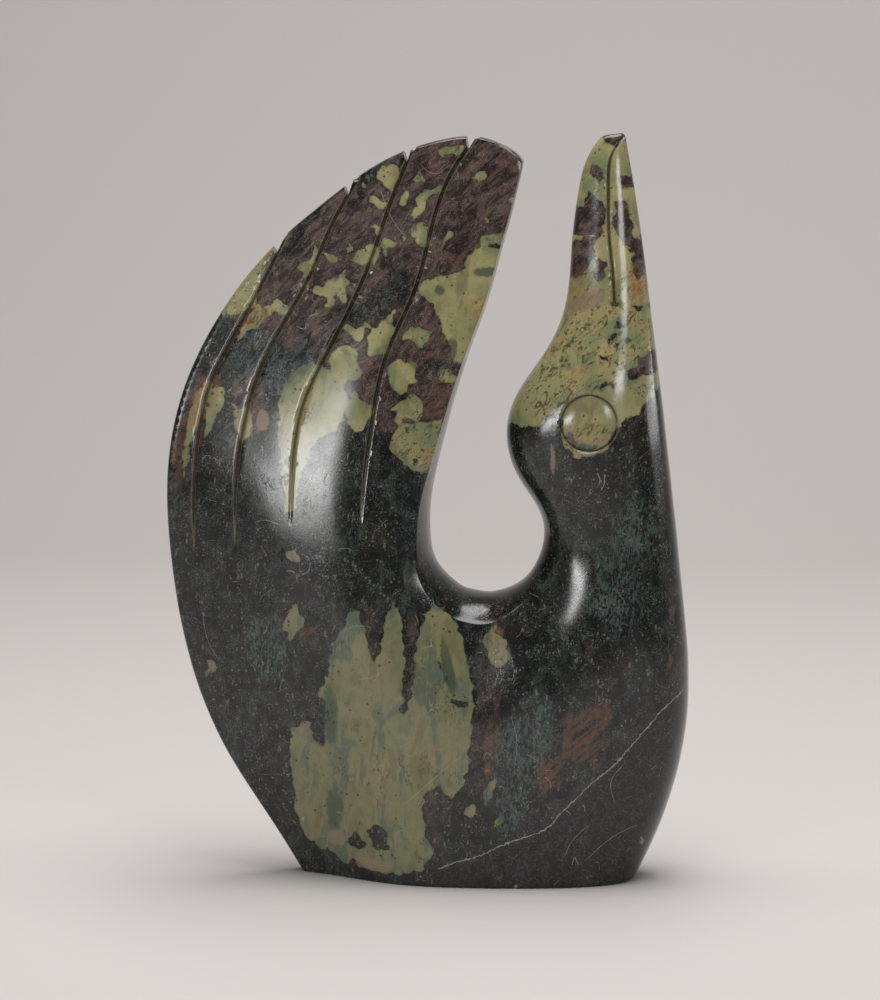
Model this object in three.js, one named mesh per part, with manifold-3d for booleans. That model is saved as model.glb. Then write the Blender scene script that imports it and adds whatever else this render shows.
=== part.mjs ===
// Soapstone bird carving: one solid of stone, standing on its own sawn foot.
//
// The bird is a band of stone bent into a U.  It runs from the beak tip down the head and
// neck, round the belly and up the raised wing, and the open gap lies inside the U.
// Millimetres, +Z up, the bird's two broad faces look to -Y and +Y, and the two are alike.
// The origin is the middle of the bounding box on the ground.

import * as THREE from 'three';
import { mergeVertices } from 'three/addons/utils/BufferGeometryUtils.js';
import Module from 'manifold-3d';

// ---------------------------------------------------------------- driving dimensions

const HEIGHT = 500;                    // foot to beak tip
const BELLY_HALF = 53;                 // half thickness of the stone at the belly
const RIM_HALF = 6.5;                  // half thickness of the wing's outer rim
const RIM_ROUNDING = 3.5;              // how far the rim's rounding reaches inwards
const GAP_BOWL = { x: 39.5, z: 230, radius: 37.5 };   // the round bottom of the gap

const WALL_CROWN = 14;                 // how far the gap's wall swells at the belly
const WALL_CROWN_MIN = 1;              // and where the stone is thinnest
const WALL_CROWN_POWER = 6;            // how fast the swelling grows with thickness
const RIDGE_PLACE = 0.3;               // thickest line of the wing, as a part of its width
const RIDGE_SOFTNESS = 0.35;           // roundness of that line, as a part of the width
const NECK_SQUARENESS = 2.3;           // exponent of the neck's and the beak's section

const GROOVE_WIDTH = 4.4;
const GROOVE_DEPTH = 3;
const BEAK_LINE_WIDTH = 3;
const BEAK_LINE_DEPTH = 2.4;
const NOSTRIL_RADIUS = 2.4;
const EYE = { x: 109.7, z: 311.8, ringRadius: 18.9, ringWidth: 4.6, ringDepth: 2.4 };

const ROWS = 84;                       // cuts along the band
const WALL_STEPS = 3;                  // steps of half a cut: gap wall, broad face, rim
const FACE_STEPS = 11;
const RIM_STEPS = 3;

const STONE = new THREE.MeshStandardMaterial({ color: 0x3d4038, roughness: 0.3, metalness: 0 });

// ---------------------------------------------------------------- the band's stations

function bowlPoint(degrees) {
  const angle = THREE.MathUtils.degToRad(degrees);
  const { x, z, radius } = GAP_BOWL;
  return [x + radius * Math.cos(angle), z + radius * Math.sin(angle)];
}

function station(gap, outer, half, gapArris, outerArris) {
  return [...gap, ...outer, half, gapArris, outerArris];
}

// Each station is one cut across the band: its point on the gap side and its point on the
// outer side, as x and z, the half thickness, and how crisp the arris is at the gap side
// and at the outer side, from 0, round, to 1, crisp.  The cuts below the ground are sawn off.
const STATIONS = [
  station([115, 498], [130.5, HEIGHT], 5.5, 0, 0),          // beak tip
  station([108, 488], [132.5, 489.5], 8.5, 0, 0),
  station([100.5, 465], [137, 464], 12, 0, 0),              // beak
  station([95.5, 425], [143, 425], 17, 0, 0),
  station([91, 384], [148.3, 384], 23, 0, 0),               // root of the beak
  station([79, 356], [152, 356], 30, 0, 0),                 // brow
  station([61, 329], [155.5, 328.5], 36.5, 0, 0),
  station([53, 302], [159, 300], 39, 0, 0),                 // head
  station([59, 275], [162.5, 270], 38.5, 0, 0),
  station([71.5, 255], [166.3, 236], 37.5, 0, 0),           // neck
  station([78, 238], [170.5, 196], 38, 0, 0),
  station(bowlPoint(-14), [174.5, 155], 41, 0, 0),
  station(bowlPoint(-42), [173.5, 101], 45, 0.3, 0),        // breast
  station(bowlPoint(-65), [153.5, 28.5], 49.5, 0.8, 0),
  station(bowlPoint(-77), [124, -26], 52, 1, 0),
  station(bowlPoint(-92), [55, -88], BELLY_HALF, 1, 0),     // belly
  station(bowlPoint(-107), [-22, -78], BELLY_HALF, 1, 0.2),
  station(bowlPoint(-122), [-73, -19], 52, 1, 1),
  station(bowlPoint(-147), [-101, 27], 50.5, 1, 1),
  station(bowlPoint(-174), [-137.5, 85], 48, 1, 1),         // root of the wing
  station([1.7, 244], [-161, 146], 45.5, 1, 1),
  station([3.7, 264], [-173, 214.5], 42, 1, 1),
  station([9.1, 288], [-174.7, 272], 38, 1, 1),
  station([17.8, 321.5], [-164, 326], 33, 1, 1),            // wing
  station([28.4, 355], [-144, 369], 28, 1, 1),
  station([40.4, 388.5], [-110.3, 415.5], 22, 1, 1),
  station([49.6, 422], [-68, 453.5], 17, 1, 1),
  station([56.8, 448.5], [-24.7, 483], 13.5, 1, 1),
  station([60.7, 465], [8, 494.5], 10.5, 1, 1),
  station([62.8, 474.5], [36, 496.5], 9, 1, 1),
  station([64, 481], [58, 487.5], 7.5, 1, 1),               // corner of the wing
];

// The four feather grooves of the wing, from the rim down to where each runs out.
const FEATHER_GROOVES = [
  [[29, 492], [20, 479], [6, 445], [-6, 398], [-24, 356], [-34, 310], [-39, 268], [-40.5, 241]],
  [[-11, 485], [-22.5, 456], [-37.5, 412.5], [-65, 354], [-80, 321], [-87, 272], [-88, 241]],
  [[-50.5, 461], [-62, 440], [-80, 399], [-105.5, 353], [-119.5, 311], [-125.5, 272], [-126.5, 221]],
  [[-98, 422], [-108.5, 401], [-128.5, 364], [-146.5, 326], [-153, 292], [-156, 252], [-155, 215]],
];

// The nicks where those grooves leave the rim: left tip, bottom and right corner.
const RIM_NICKS = [
  [[26, 497], [27.2, 488], [31, 494.2]],
  [[-15.4, 486.3], [-13.1, 479.7], [-10.1, 488.7]],
  [[-54.8, 463.2], [-52.3, 457], [-48, 469.6]],
  [[-102.3, 422], [-100.3, 418.4], [-95, 428.8]],
];

// The line between the two halves of the beak, from the tip down to a drilled pit.
const BEAK_LINE = [[129.5, 496.5], [123, 487.5], [120.3, 466], [121.3, 432], [124, 408], [125.2, 388.7]];

// ---------------------------------------------------------------- curves and sections

// A natural cubic spline: the smooth curve through the values at the given knots.
function naturalSpline(knots, values) {
  const last = knots.length - 1;
  const bend = new Array(last + 1).fill(0);
  const pivot = new Array(last + 1).fill(0);
  for (let i = 1; i < last; i += 1) {
    const before = knots[i] - knots[i - 1];
    const after = knots[i + 1] - knots[i];
    const scale = 2 * (before + after) - before * pivot[i - 1];
    const turn = 6 * ((values[i + 1] - values[i]) / after - (values[i] - values[i - 1]) / before);
    pivot[i] = after / scale;
    bend[i] = (turn - before * bend[i - 1]) / scale;
  }
  for (let i = last - 1; i > 0; i -= 1) {
    bend[i] -= pivot[i] * bend[i + 1];
  }
  return (at) => {
    let i = 0;
    while (i < last - 1 && at > knots[i + 1]) {
      i += 1;
    }
    const step = knots[i + 1] - knots[i];
    const a = (knots[i + 1] - at) / step;
    const b = 1 - a;
    const straight = a * values[i] + b * values[i + 1];
    return straight + ((a ** 3 - a) * bend[i] + (b ** 3 - b) * bend[i + 1]) * step ** 2 / 6;
  };
}

// Knots from 0 to 1 that grow with the distance between the points.
function knotsAlong(distances) {
  const knots = [0];
  distances.forEach((distance, i) => knots.push(knots[i] + distance));
  return knots.map((knot) => knot / knots[knots.length - 1]);
}

// The smooth path through points of x and z.
function smoothPath(points) {
  const steps = points.slice(1).map((p, i) => Math.hypot(p[0] - points[i][0], p[1] - points[i][1]));
  const knots = knotsAlong(steps);
  const x = naturalSpline(knots, points.map((p) => p[0]));
  const z = naturalSpline(knots, points.map((p) => p[1]));
  return (at) => [x(at), z(at)];
}

// Where a crisp half cut lies, as distance from the gap and distance from the middle plane.
// It is the gap's swollen wall, then the broad face, a hyperbola with its top at the ridge,
// then the rounded rim.
function crispHalfCut(width, half) {
  const rim = Math.min(RIM_HALF, 0.72 * half);
  const rounding = Math.min(RIM_ROUNDING, 0.08 * width);
  const swell = WALL_CROWN_MIN + WALL_CROWN * (half / BELLY_HALF) ** WALL_CROWN_POWER;
  const crown = Math.min(swell, 0.2 * width);
  const reach = (part) => Math.hypot(part - RIDGE_PLACE, RIDGE_SOFTNESS);
  const face = (part) => rim + (half - rim) * (reach(1) - reach(part)) / (reach(1) - RIDGE_SOFTNESS);
  const cut = [];
  for (let i = 0; i <= WALL_STEPS; i += 1) {
    const part = i / WALL_STEPS;
    cut.push([crown * part ** 2, face(0) * part]);
  }
  const faceWidth = width - rounding - crown;
  for (let i = 1; i <= FACE_STEPS; i += 1) {
    const across = crown + faceWidth * i / FACE_STEPS;
    cut.push([across, face((across - crown) / (width - crown))]);
  }
  const rimHalf = cut[cut.length - 1][1];
  for (let i = 1; i <= RIM_STEPS; i += 1) {
    const angle = Math.PI / 2 * i / RIM_STEPS;
    const power = 2 / 2.6;
    const across = width - rounding + rounding * Math.sin(angle) ** power;
    cut.push([across, rimHalf * Math.max(Math.cos(angle), 0) ** power]);
  }
  cut[cut.length - 1][1] = 0;
  return cut;
}

// The same half cut where the stone is round: half of a superellipse.
function roundHalfCut(width, half, steps) {
  const power = 2 / NECK_SQUARENESS;
  const cut = [];
  for (let i = 0; i <= steps; i += 1) {
    const angle = Math.PI * i / steps;
    const along = Math.cos(angle);
    const across = width / 2 * (1 - Math.sign(along) * Math.abs(along) ** power);
    cut.push([across, half * Math.max(Math.sin(angle), 0) ** power]);
  }
  cut[steps][1] = 0;
  return cut;
}

// One closed cut of the band: crisp and round mixed, front half and back half.
function closedCut([gapX, gapZ, outerX, outerZ, half, gapArris, outerArris]) {
  const width = Math.hypot(outerX - gapX, outerZ - gapZ);
  const crisp = crispHalfCut(width, half);
  const steps = crisp.length - 1;
  const round = roundHalfCut(width, half, steps);
  const front = [];
  const back = [];
  for (let i = 0; i <= steps; i += 1) {
    const ease = THREE.MathUtils.smoothstep(i / steps, 0, 1);
    const arris = THREE.MathUtils.lerp(gapArris, outerArris, ease);
    const across = THREE.MathUtils.lerp(round[i][0], crisp[i][0], arris) / width;
    const y = THREE.MathUtils.lerp(round[i][1], crisp[i][1], arris);
    const x = gapX + (outerX - gapX) * across;
    const z = gapZ + (outerZ - gapZ) * across;
    front.push([x, -y, z]);
    if (i > 0 && i < steps) {
      back.unshift([x, y, z]);
    }
  }
  return [...front, ...back];
}

// ---------------------------------------------------------------- meshes and solids

// The same geometry with every face turned outwards.
function facingOut(geometry) {
  const place = geometry.attributes.position;
  const faces = geometry.index.array;
  const [a, b, c] = [new THREE.Vector3(), new THREE.Vector3(), new THREE.Vector3()];
  let volume = 0;
  for (let i = 0; i < faces.length; i += 3) {
    [a, b, c].forEach((corner, k) => corner.fromBufferAttribute(place, faces[i + k]));
    volume += a.dot(b.cross(c));
  }
  if (volume < 0) {
    geometry.setIndex(Array.from(faces).reverse());
  }
  return geometry;
}

// The skin over a row of cuts.  An open row gets a flat end at either side, and a ring
// joins its last cut to its first.
function skinOver(cuts, isRing = false) {
  const around = cuts[0].length;
  const points = cuts.flat();
  const faces = [];
  const bands = isRing ? cuts.length : cuts.length - 1;
  for (let i = 0; i < bands; i += 1) {
    const here = i * around;
    const there = ((i + 1) % cuts.length) * around;
    for (let j = 0; j < around; j += 1) {
      const next = (j + 1) % around;
      faces.push(here + j, here + next, there + next);
      faces.push(here + j, there + next, there + j);
    }
  }
  if (!isRing) {
    const lastCut = (cuts.length - 1) * around;
    for (let j = 1; j < around - 1; j += 1) {
      faces.push(0, j + 1, j);
      faces.push(lastCut, lastCut + j, lastCut + j + 1);
    }
  }
  const geometry = new THREE.BufferGeometry();
  geometry.setAttribute('position', new THREE.Float32BufferAttribute(points.flat(), 3));
  geometry.setIndex(faces);
  return facingOut(geometry);
}

// The whole band of stone before it is carved.
function bandGeometry() {
  const distances = STATIONS.slice(1).map((here, i) => {
    const before = STATIONS[i];
    const onGapSide = Math.hypot(here[0] - before[0], here[1] - before[1]);
    const onOuterSide = Math.hypot(here[2] - before[2], here[3] - before[3]);
    return onGapSide + onOuterSide;
  });
  const knots = knotsAlong(distances);
  const columns = STATIONS[0].map((_, i) => naturalSpline(knots, STATIONS.map((s) => s[i])));
  const cuts = [];
  for (let row = 0; row <= ROWS; row += 1) {
    const values = columns.map((spline) => spline(row / ROWS));
    values[5] = THREE.MathUtils.clamp(values[5], 0, 1);
    values[6] = THREE.MathUtils.clamp(values[6], 0, 1);
    cuts.push(closedCut(values));
  }
  return skinOver(cuts);
}

// How far forward the stone's front surface lies at a place.  Past the rim it is the rim's.
function frontSurface(stone, x, z) {
  const ray = new THREE.Raycaster(new THREE.Vector3(x, -HEIGHT, z), new THREE.Vector3(0, 1, 0));
  const hit = ray.intersectObject(stone)[0];
  return hit ? hit.point.y : -0.8 * RIM_HALF;
}

// The outward direction of the front surface at a place.
function frontNormal(stone, x, z) {
  const probe = 1.5;
  const steepest = 1.2;
  const slope = (dx, dz) => THREE.MathUtils.clamp(
    (frontSurface(stone, x + dx, z + dz) - frontSurface(stone, x - dx, z - dz)) / (2 * probe),
    -steepest,
    steepest,
  );
  return new THREE.Vector3(slope(probe, 0), -1, slope(0, probe)).normalize();
}

// A V-shaped cutter that follows a path over the front surface.  sizeAt gives how much of
// the full width and depth is left along the path.
function grooveCutter(stone, path, steps, width, depth, sizeAt, isRing = false) {
  const lift = 2.5;
  const cuts = [];
  for (let i = 0; i < steps + (isRing ? 0 : 1); i += 1) {
    const at = i / steps;
    const [x, z] = path(at);
    const [xBefore, zBefore] = path(at - 0.005);
    const [xAfter, zAfter] = path(at + 0.005);
    const outward = frontNormal(stone, x, z);
    const along = new THREE.Vector3(xAfter - xBefore, 0, zAfter - zBefore).normalize();
    const side = new THREE.Vector3().crossVectors(along, outward).normalize();
    const surface = new THREE.Vector3(x, frontSurface(stone, x, z), z);
    const deep = depth * sizeAt(at);
    const halfTop = (width / 2) * (lift + deep) / depth;
    const top = surface.clone().addScaledVector(outward, lift);
    cuts.push([
      top.clone().addScaledVector(side, halfTop).toArray(),
      top.clone().addScaledVector(side, -halfTop).toArray(),
      surface.clone().addScaledVector(outward, -deep).toArray(),
    ]);
  }
  return skinOver(cuts, isRing);
}

// A feather groove: full size from the rim, then shallower to nothing at its lower end.
function featherCutter(stone, points) {
  const steps = 12;
  const runOut = (at) => 1.02 - at ** 8;
  return grooveCutter(stone, smoothPath(points), steps, GROOVE_WIDTH, GROOVE_DEPTH, runOut);
}

// The beak line: a fine scratch at the tip that widens within its first part.
function beakLineCutter(stone) {
  const steps = 12;
  const widen = (at) => 0.5 + 0.5 * THREE.MathUtils.smoothstep(at, 0, 0.2);
  return grooveCutter(stone, smoothPath(BEAK_LINE), steps, BEAK_LINE_WIDTH, BEAK_LINE_DEPTH, widen);
}

// The drilled pit at the lower end of the beak line.
function nostrilCutter(stone) {
  const [x, z] = BEAK_LINE[BEAK_LINE.length - 1];
  const pit = new THREE.SphereGeometry(NOSTRIL_RADIUS, 10, 6);
  return pit.translate(x, frontSurface(stone, x, z), z);
}

// The ring that sets the eye off from the head.
function eyeCutter(stone) {
  const steps = 24;
  const ring = (at) => {
    const angle = 2 * Math.PI * at;
    return [EYE.x + EYE.ringRadius * Math.cos(angle), EYE.z + EYE.ringRadius * Math.sin(angle)];
  };
  return grooveCutter(stone, ring, steps, EYE.ringWidth, EYE.ringDepth, () => 1, true);
}

// A nick in the rim: a wedge through the whole thickness, open outwards.
function nickCutter([leftTip, bottom, rightCorner]) {
  const beyond = 1.8;
  const through = 6 * RIM_HALF;
  const outwards = (corner) => [0, 1].map((axis) => bottom[axis] + beyond * (corner[axis] - bottom[axis]));
  const corners = [bottom, outwards(rightCorner), outwards(leftTip)];
  const wedge = new THREE.Shape(corners.map((corner) => new THREE.Vector2(...corner)));
  const cutter = new THREE.ExtrudeGeometry(wedge, { depth: through, bevelEnabled: false });
  return cutter.rotateX(Math.PI / 2).translate(0, through / 2, 0);
}

// ---------------------------------------------------------------- carving the stone

const wasm = await Module();
wasm.setup();

function solidOf(geometry) {
  const plain = geometry.clone();
  plain.deleteAttribute('normal');
  plain.deleteAttribute('uv');
  const merged = facingOut(mergeVertices(plain, 1e-4));
  return new wasm.Manifold(new wasm.Mesh({
    numProp: 3,
    vertProperties: Float32Array.from(merged.attributes.position.array),
    triVerts: Uint32Array.from(merged.index.array),
  }));
}

function geometryOf(solid) {
  const { vertProperties, triVerts, numProp } = solid.getMesh();
  const points = [];
  for (let i = 0; i < vertProperties.length; i += numProp) {
    points.push(vertProperties[i], vertProperties[i + 1], vertProperties[i + 2]);
  }
  const geometry = new THREE.BufferGeometry();
  geometry.setAttribute('position', new THREE.Float32BufferAttribute(points, 3));
  geometry.setIndex(Array.from(triVerts));
  geometry.computeVertexNormals();
  return geometry;
}

function birdGeometry() {
  const band = bandGeometry();
  const stone = new THREE.Mesh(band);
  const frontCutters = [
    ...FEATHER_GROOVES.map((points) => featherCutter(stone, points)),
    beakLineCutter(stone),
    nostrilCutter(stone),
    eyeCutter(stone),
  ];
  const backCutters = frontCutters.map((cutter) => cutter.clone().scale(1, -1, 1));
  const belowGround = new THREE.BoxGeometry(2 * HEIGHT, 2 * HEIGHT, HEIGHT).translate(0, 0, -HEIGHT / 2);
  const cutters = [...frontCutters, ...backCutters, ...RIM_NICKS.map(nickCutter), belowGround];
  return geometryOf(cutters.reduce((bird, cutter) => bird.subtract(solidOf(cutter)), solidOf(band)));
}

const carving = new THREE.Group();
const bird = new THREE.Mesh(birdGeometry(), STONE);
bird.name = 'bird';
carving.add(bird);

export default carving;
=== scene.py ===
"""The looks of a bird carved from one block of soapstone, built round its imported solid.

The stone is one band of skin bent into a U: beak, head, neck, belly and raised wing, with
the gap inside the U.  Its shape is a function of two parameters, worked out as whole
arrays.  Places on the stone are given in millimetres, as x and z seen from the front.
"""

import math
from types import SimpleNamespace

import bpy
import numpy as np
from bpy.props import FloatProperty, FloatVectorProperty, PointerProperty
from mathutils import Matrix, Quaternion, Vector


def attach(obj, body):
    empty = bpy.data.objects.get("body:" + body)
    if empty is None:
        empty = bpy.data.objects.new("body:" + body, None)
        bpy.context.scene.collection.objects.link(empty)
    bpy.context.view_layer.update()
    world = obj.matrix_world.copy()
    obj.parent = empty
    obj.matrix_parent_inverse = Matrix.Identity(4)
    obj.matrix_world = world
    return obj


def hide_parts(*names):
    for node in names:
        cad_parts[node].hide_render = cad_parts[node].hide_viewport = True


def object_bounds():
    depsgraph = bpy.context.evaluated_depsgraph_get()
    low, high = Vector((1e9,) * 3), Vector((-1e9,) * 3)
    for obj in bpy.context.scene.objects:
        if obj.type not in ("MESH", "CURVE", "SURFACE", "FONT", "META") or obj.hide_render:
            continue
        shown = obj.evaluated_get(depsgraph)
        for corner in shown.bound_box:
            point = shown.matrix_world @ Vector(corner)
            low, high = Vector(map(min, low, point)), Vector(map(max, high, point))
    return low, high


bl_info = {
    "name": "Soapstone bird",
    "version": (1, 0, 0),
    "blender": (4, 5, 0),
    "location": "3D View > Sidebar > Soapstone bird",
    "description": "Builds a carved soapstone bird and the studio it stands in",
    "category": "Add Mesh",
}

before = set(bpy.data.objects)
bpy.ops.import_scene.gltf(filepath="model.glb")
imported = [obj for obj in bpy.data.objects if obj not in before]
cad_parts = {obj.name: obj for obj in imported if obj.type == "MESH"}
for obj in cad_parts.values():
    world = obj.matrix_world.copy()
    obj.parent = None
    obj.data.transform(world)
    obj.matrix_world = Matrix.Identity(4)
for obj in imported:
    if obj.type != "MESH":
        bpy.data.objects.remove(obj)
CAD_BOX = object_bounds()

MM = 0.001
FAR = 1000.0                           # a distance, in mm, that counts as out of reach

# ---------------------------------------------------------------- the stone's shape

HEIGHT = round(CAD_BOX[1].z / MM, 1)   # foot to beak tip
BELLY_HALF = 53.0                      # half thickness at the belly
RIM_HALF = 6.5                         # half thickness at the wing's rim
RIM_ROUNDING = 3.5
GAP_BOWL = (39.5, 230.0, 37.5)         # x, z and radius of the gap's round bottom
WALL_CROWN = 14.0                      # swelling of the gap's wall at the belly
WALL_CROWN_MIN = 1.0
WALL_CROWN_POWER = 6
CROWN_SHARE = 0.2                      # the crown's limit, as a part of the cut's width
RIM_SHARE = 0.72                       # the rim's limit, as a part of the half thickness
ROUNDING_SHARE = 0.08                  # the rim rounding's limit, as a part of the width
RIM_POWER = 2 / 2.6                    # how square the rim is rounded
RIDGE_PLACE = 0.3                      # thickest line of the wing, as a part of its width
RIDGE_SOFTNESS = 0.35
NECK_SQUARENESS = 2.3
SOFTENING = ((-1, 0.15), (-0.5, 0.22), (0, 0.26), (0.5, 0.22), (1, 0.15))  # shift and share
WALL_END = 3 / 17                      # where the gap's wall ends along half a cut
FACE_END = 14 / 17                     # where the broad face ends and the rim begins


def bowl_point(degrees):
    """The point of the gap's round bottom at that angle from the right."""
    angle = math.radians(degrees)
    x, z, radius = GAP_BOWL
    return x + radius * math.cos(angle), z + radius * math.sin(angle)


# Cuts across the band: the gap side's x and z, the outer side's x and z, the half
# thickness, and how crisp the arris is at the gap side and at the outer side, 0 to 1.
STATIONS = np.array([
    (115, 498, 130.5, HEIGHT, 5.5, 0, 0),             # beak tip
    (108, 488, 132.5, 489.5, 8.5, 0, 0),
    (100.5, 465, 137, 464, 12, 0, 0),                 # beak
    (95.5, 425, 143, 425, 17, 0, 0),
    (91, 384, 148.3, 384, 23, 0, 0),
    (79, 356, 152, 356, 30, 0, 0),                    # brow
    (61, 329, 155.5, 328.5, 36.5, 0, 0),
    (53, 302, 159, 300, 39, 0, 0),                    # head
    (59, 275, 162.5, 270, 38.5, 0, 0),
    (71.5, 255, 166.3, 236, 37.5, 0, 0),              # neck
    (78, 238, 170.5, 196, 38, 0, 0),
    (*bowl_point(-14), 174.5, 155, 41, 0, 0),
    (*bowl_point(-42), 173.5, 101, 45, 0.3, 0),       # breast
    (*bowl_point(-65), 153.5, 28.5, 49.5, 0.8, 0),
    (*bowl_point(-77), 124, -26, 52, 1, 0),
    (*bowl_point(-92), 55, -88, BELLY_HALF, 1, 0),    # belly
    (*bowl_point(-107), -22, -78, BELLY_HALF, 1, 0.2),
    (*bowl_point(-122), -73, -19, 52, 1, 1),
    (*bowl_point(-147), -101, 27, 50.5, 1, 1),
    (*bowl_point(-174), -137.5, 85, 48, 1, 1),        # root of the wing
    (1.7, 244, -161, 146, 45.5, 1, 1),
    (3.7, 264, -173, 214.5, 42, 1, 1),
    (9.1, 288, -174.7, 272, 38, 1, 1),
    (17.8, 321.5, -164, 326, 33, 1, 1),               # wing
    (28.4, 355, -144, 369, 28, 1, 1),
    (40.4, 388.5, -110.3, 415.5, 22, 1, 1),
    (49.6, 422, -68, 453.5, 17, 1, 1),
    (56.8, 448.5, -24.7, 483, 13.5, 1, 1),
    (60.7, 465, 8, 494.5, 10.5, 1, 1),
    (62.8, 474.5, 36, 496.5, 9, 1, 1),
    (64, 481, 58, 487.5, 7.5, 1, 1),                  # corner of the wing
])

# The four feather grooves of the wing, from the rim down to where each runs out.
FEATHER_GROOVES = (
    ((29, 492), (20, 479), (6, 445), (-6, 398), (-24, 356), (-34, 310), (-39, 268), (-40.5, 241)),
    ((-11, 485), (-22.5, 456), (-37.5, 412.5), (-65, 354), (-80, 321), (-87, 272), (-88, 241)),
    ((-50.5, 461), (-62, 440), (-80, 399), (-105.5, 353), (-119.5, 311), (-125.5, 272),
     (-126.5, 221)),
    ((-98, 422), (-108.5, 401), (-128.5, 364), (-146.5, 326), (-153, 292), (-156, 252),
     (-155, 215)),
)

# The nicks where those grooves leave the rim: left tip, bottom and right corner.
RIM_NICKS = (
    ((26, 497), (27.2, 488), (31, 494.2)),
    ((-15.4, 486.3), (-13.1, 479.7), (-10.1, 488.7)),
    ((-54.8, 463.2), (-52.3, 457), (-48, 469.6)),
    ((-102.3, 422), (-100.3, 418.4), (-95, 428.8)),
)

BEAK_LINE = ((129.5, 496.5), (123, 487.5), (120.3, 466), (121.3, 432), (124, 408), (125.2, 388.7))
NOSTRIL = (125.2, 388.7)
EYE = (109.7, 311.8)


def natural_spline(knots, values):
    """The smooth curve through the values: cubic pieces that join with equal slope and
    equal bend, and no bend at either end."""
    gaps = np.diff(knots)
    inner = np.arange(1, len(knots) - 1)
    matrix = np.eye(len(knots))
    matrix[inner, inner - 1] = gaps[:-1]
    matrix[inner, inner] = 2 * (gaps[:-1] + gaps[1:])
    matrix[inner, inner + 1] = gaps[1:]
    turn = np.zeros_like(values)
    turn[inner] = 6 * np.diff(np.diff(values, axis=0) / gaps[:, None], axis=0)
    bend = np.linalg.solve(matrix, turn)

    def curve(place):
        i = np.clip(np.searchsorted(knots, place, side="right") - 1, 0, len(gaps) - 1)
        step = gaps[i, None]
        a = (knots[i + 1] - place)[:, None] / step
        b = 1 - a
        bending = (a**3 - a) * bend[i] + (b**3 - b) * bend[i + 1]
        return a * values[i] + b * values[i + 1] + bending * step**2 / 6

    return curve


def smooth_path(points, samples):
    """The smooth path through the given points of x and z, as that many samples."""
    points = np.array(points, float)
    knots = np.append(0, np.cumsum(np.hypot(*np.diff(points, axis=0).T)))
    return natural_spline(knots / knots[-1], points)(np.linspace(0, 1, samples))


def station_curve():
    """The cut's seven values as smooth functions of the way along the band, 0 to 1, and
    the band's mean length."""
    steps = np.diff(STATIONS[:, :4], axis=0)
    mean = (np.hypot(steps[:, 0], steps[:, 1]) + np.hypot(steps[:, 2], steps[:, 3])) / 2
    knots = np.append(0, np.cumsum(mean))
    return natural_spline(knots / knots[-1], STATIONS), knots[-1]


def crisp_half_cut(width, half, place):
    """Half a cut with a crisp arris, as distance from the gap and from the middle plane.
    The wall is a parabola, the broad face a hyperbola with its top at the ridge, and the
    rim a quarter of a superellipse."""
    rim = np.minimum(RIM_HALF, RIM_SHARE * half)
    rounding = np.minimum(RIM_ROUNDING, ROUNDING_SHARE * width)
    swell = WALL_CROWN_MIN + WALL_CROWN * (half / BELLY_HALF) ** WALL_CROWN_POWER
    crown = np.minimum(swell, CROWN_SHARE * width)

    def face(part):
        reach = np.hypot(part - RIDGE_PLACE, RIDGE_SOFTNESS)
        full = math.hypot(1 - RIDGE_PLACE, RIDGE_SOFTNESS)
        return rim + (half - rim) * (full - reach) / (full - RIDGE_SOFTNESS)

    wall = np.clip(place / WALL_END, 0, 1)
    facing = np.clip((place - WALL_END) / (FACE_END - WALL_END), 0, 1)
    angle = np.clip((place - FACE_END) / (1 - FACE_END), 0, 1) * math.pi / 2
    on_face = (width - rounding - crown) * facing
    y_face = face(on_face / (width - crown)) * np.maximum(np.cos(angle), 0) ** RIM_POWER
    across = crown * wall**2 + on_face + rounding * np.sin(angle) ** RIM_POWER
    return across, np.where(place < WALL_END, face(0) * wall, y_face)


def round_half_cut(width, half, place):
    """Half a superellipse, as distance from the gap and from the middle plane."""
    power = 2 / NECK_SQUARENESS
    along = np.cos(math.pi * place)
    across = width / 2 * (1 - np.sign(along) * np.abs(along) ** power)
    return across, half * np.maximum(np.sin(math.pi * place), 0) ** power


def band_surface(along, around, end_rounding, arris_softness):
    """The band's skin before carving, in mm.  Along runs from the beak tip, 0, to the
    wing's corner, 1.  Around runs from the rim, -1, over the back face to the gap, 0, and
    over the front face to the rim again, 1.  Each point lies on a cut that is crisp and
    round mixed; a mean over neighbouring places softens the arris, and the cut shrinks
    along a quarter circle at either end."""
    curve, length = station_curve()
    gap_x, gap_z, outer_x, outer_z, half, gap_arris, outer_arris = curve(along).T
    width = np.hypot(outer_x - gap_x, outer_z - gap_z)
    across = np.zeros(len(along))
    forward = np.zeros(len(along))
    for shift, share in SOFTENING:
        moved = around + shift * arris_softness
        side = np.where(((moved + 1) % 2) - 1 < 0, -1, 1)
        place = np.abs(((moved + 1) % 2) - 1)
        ease = place**2 * (3 - 2 * place)
        crispness = np.clip(gap_arris, 0, 1) * (1 - ease) + np.clip(outer_arris, 0, 1) * ease
        crisp = crisp_half_cut(width, half, place)
        smooth = round_half_cut(width, half, place)
        across += share * (smooth[0] + (crisp[0] - smooth[0]) * crispness)
        forward += share * side * (smooth[1] + (crisp[1] - smooth[1]) * crispness)
    to_end = np.minimum(np.minimum(along, 1 - along) * length, end_rounding)
    inset = end_rounding - np.sqrt(end_rounding**2 - (end_rounding - to_end) ** 2)
    across = width / 2 + (across - width / 2) * (1 - 2 * inset / width)
    part = across / width
    x = gap_x + (outer_x - gap_x) * part
    z = gap_z + (outer_z - gap_z) * part
    return np.column_stack((x, -forward * (1 - inset / half), z))


# ---------------------------------------------------------------- fields over x and z


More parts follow.
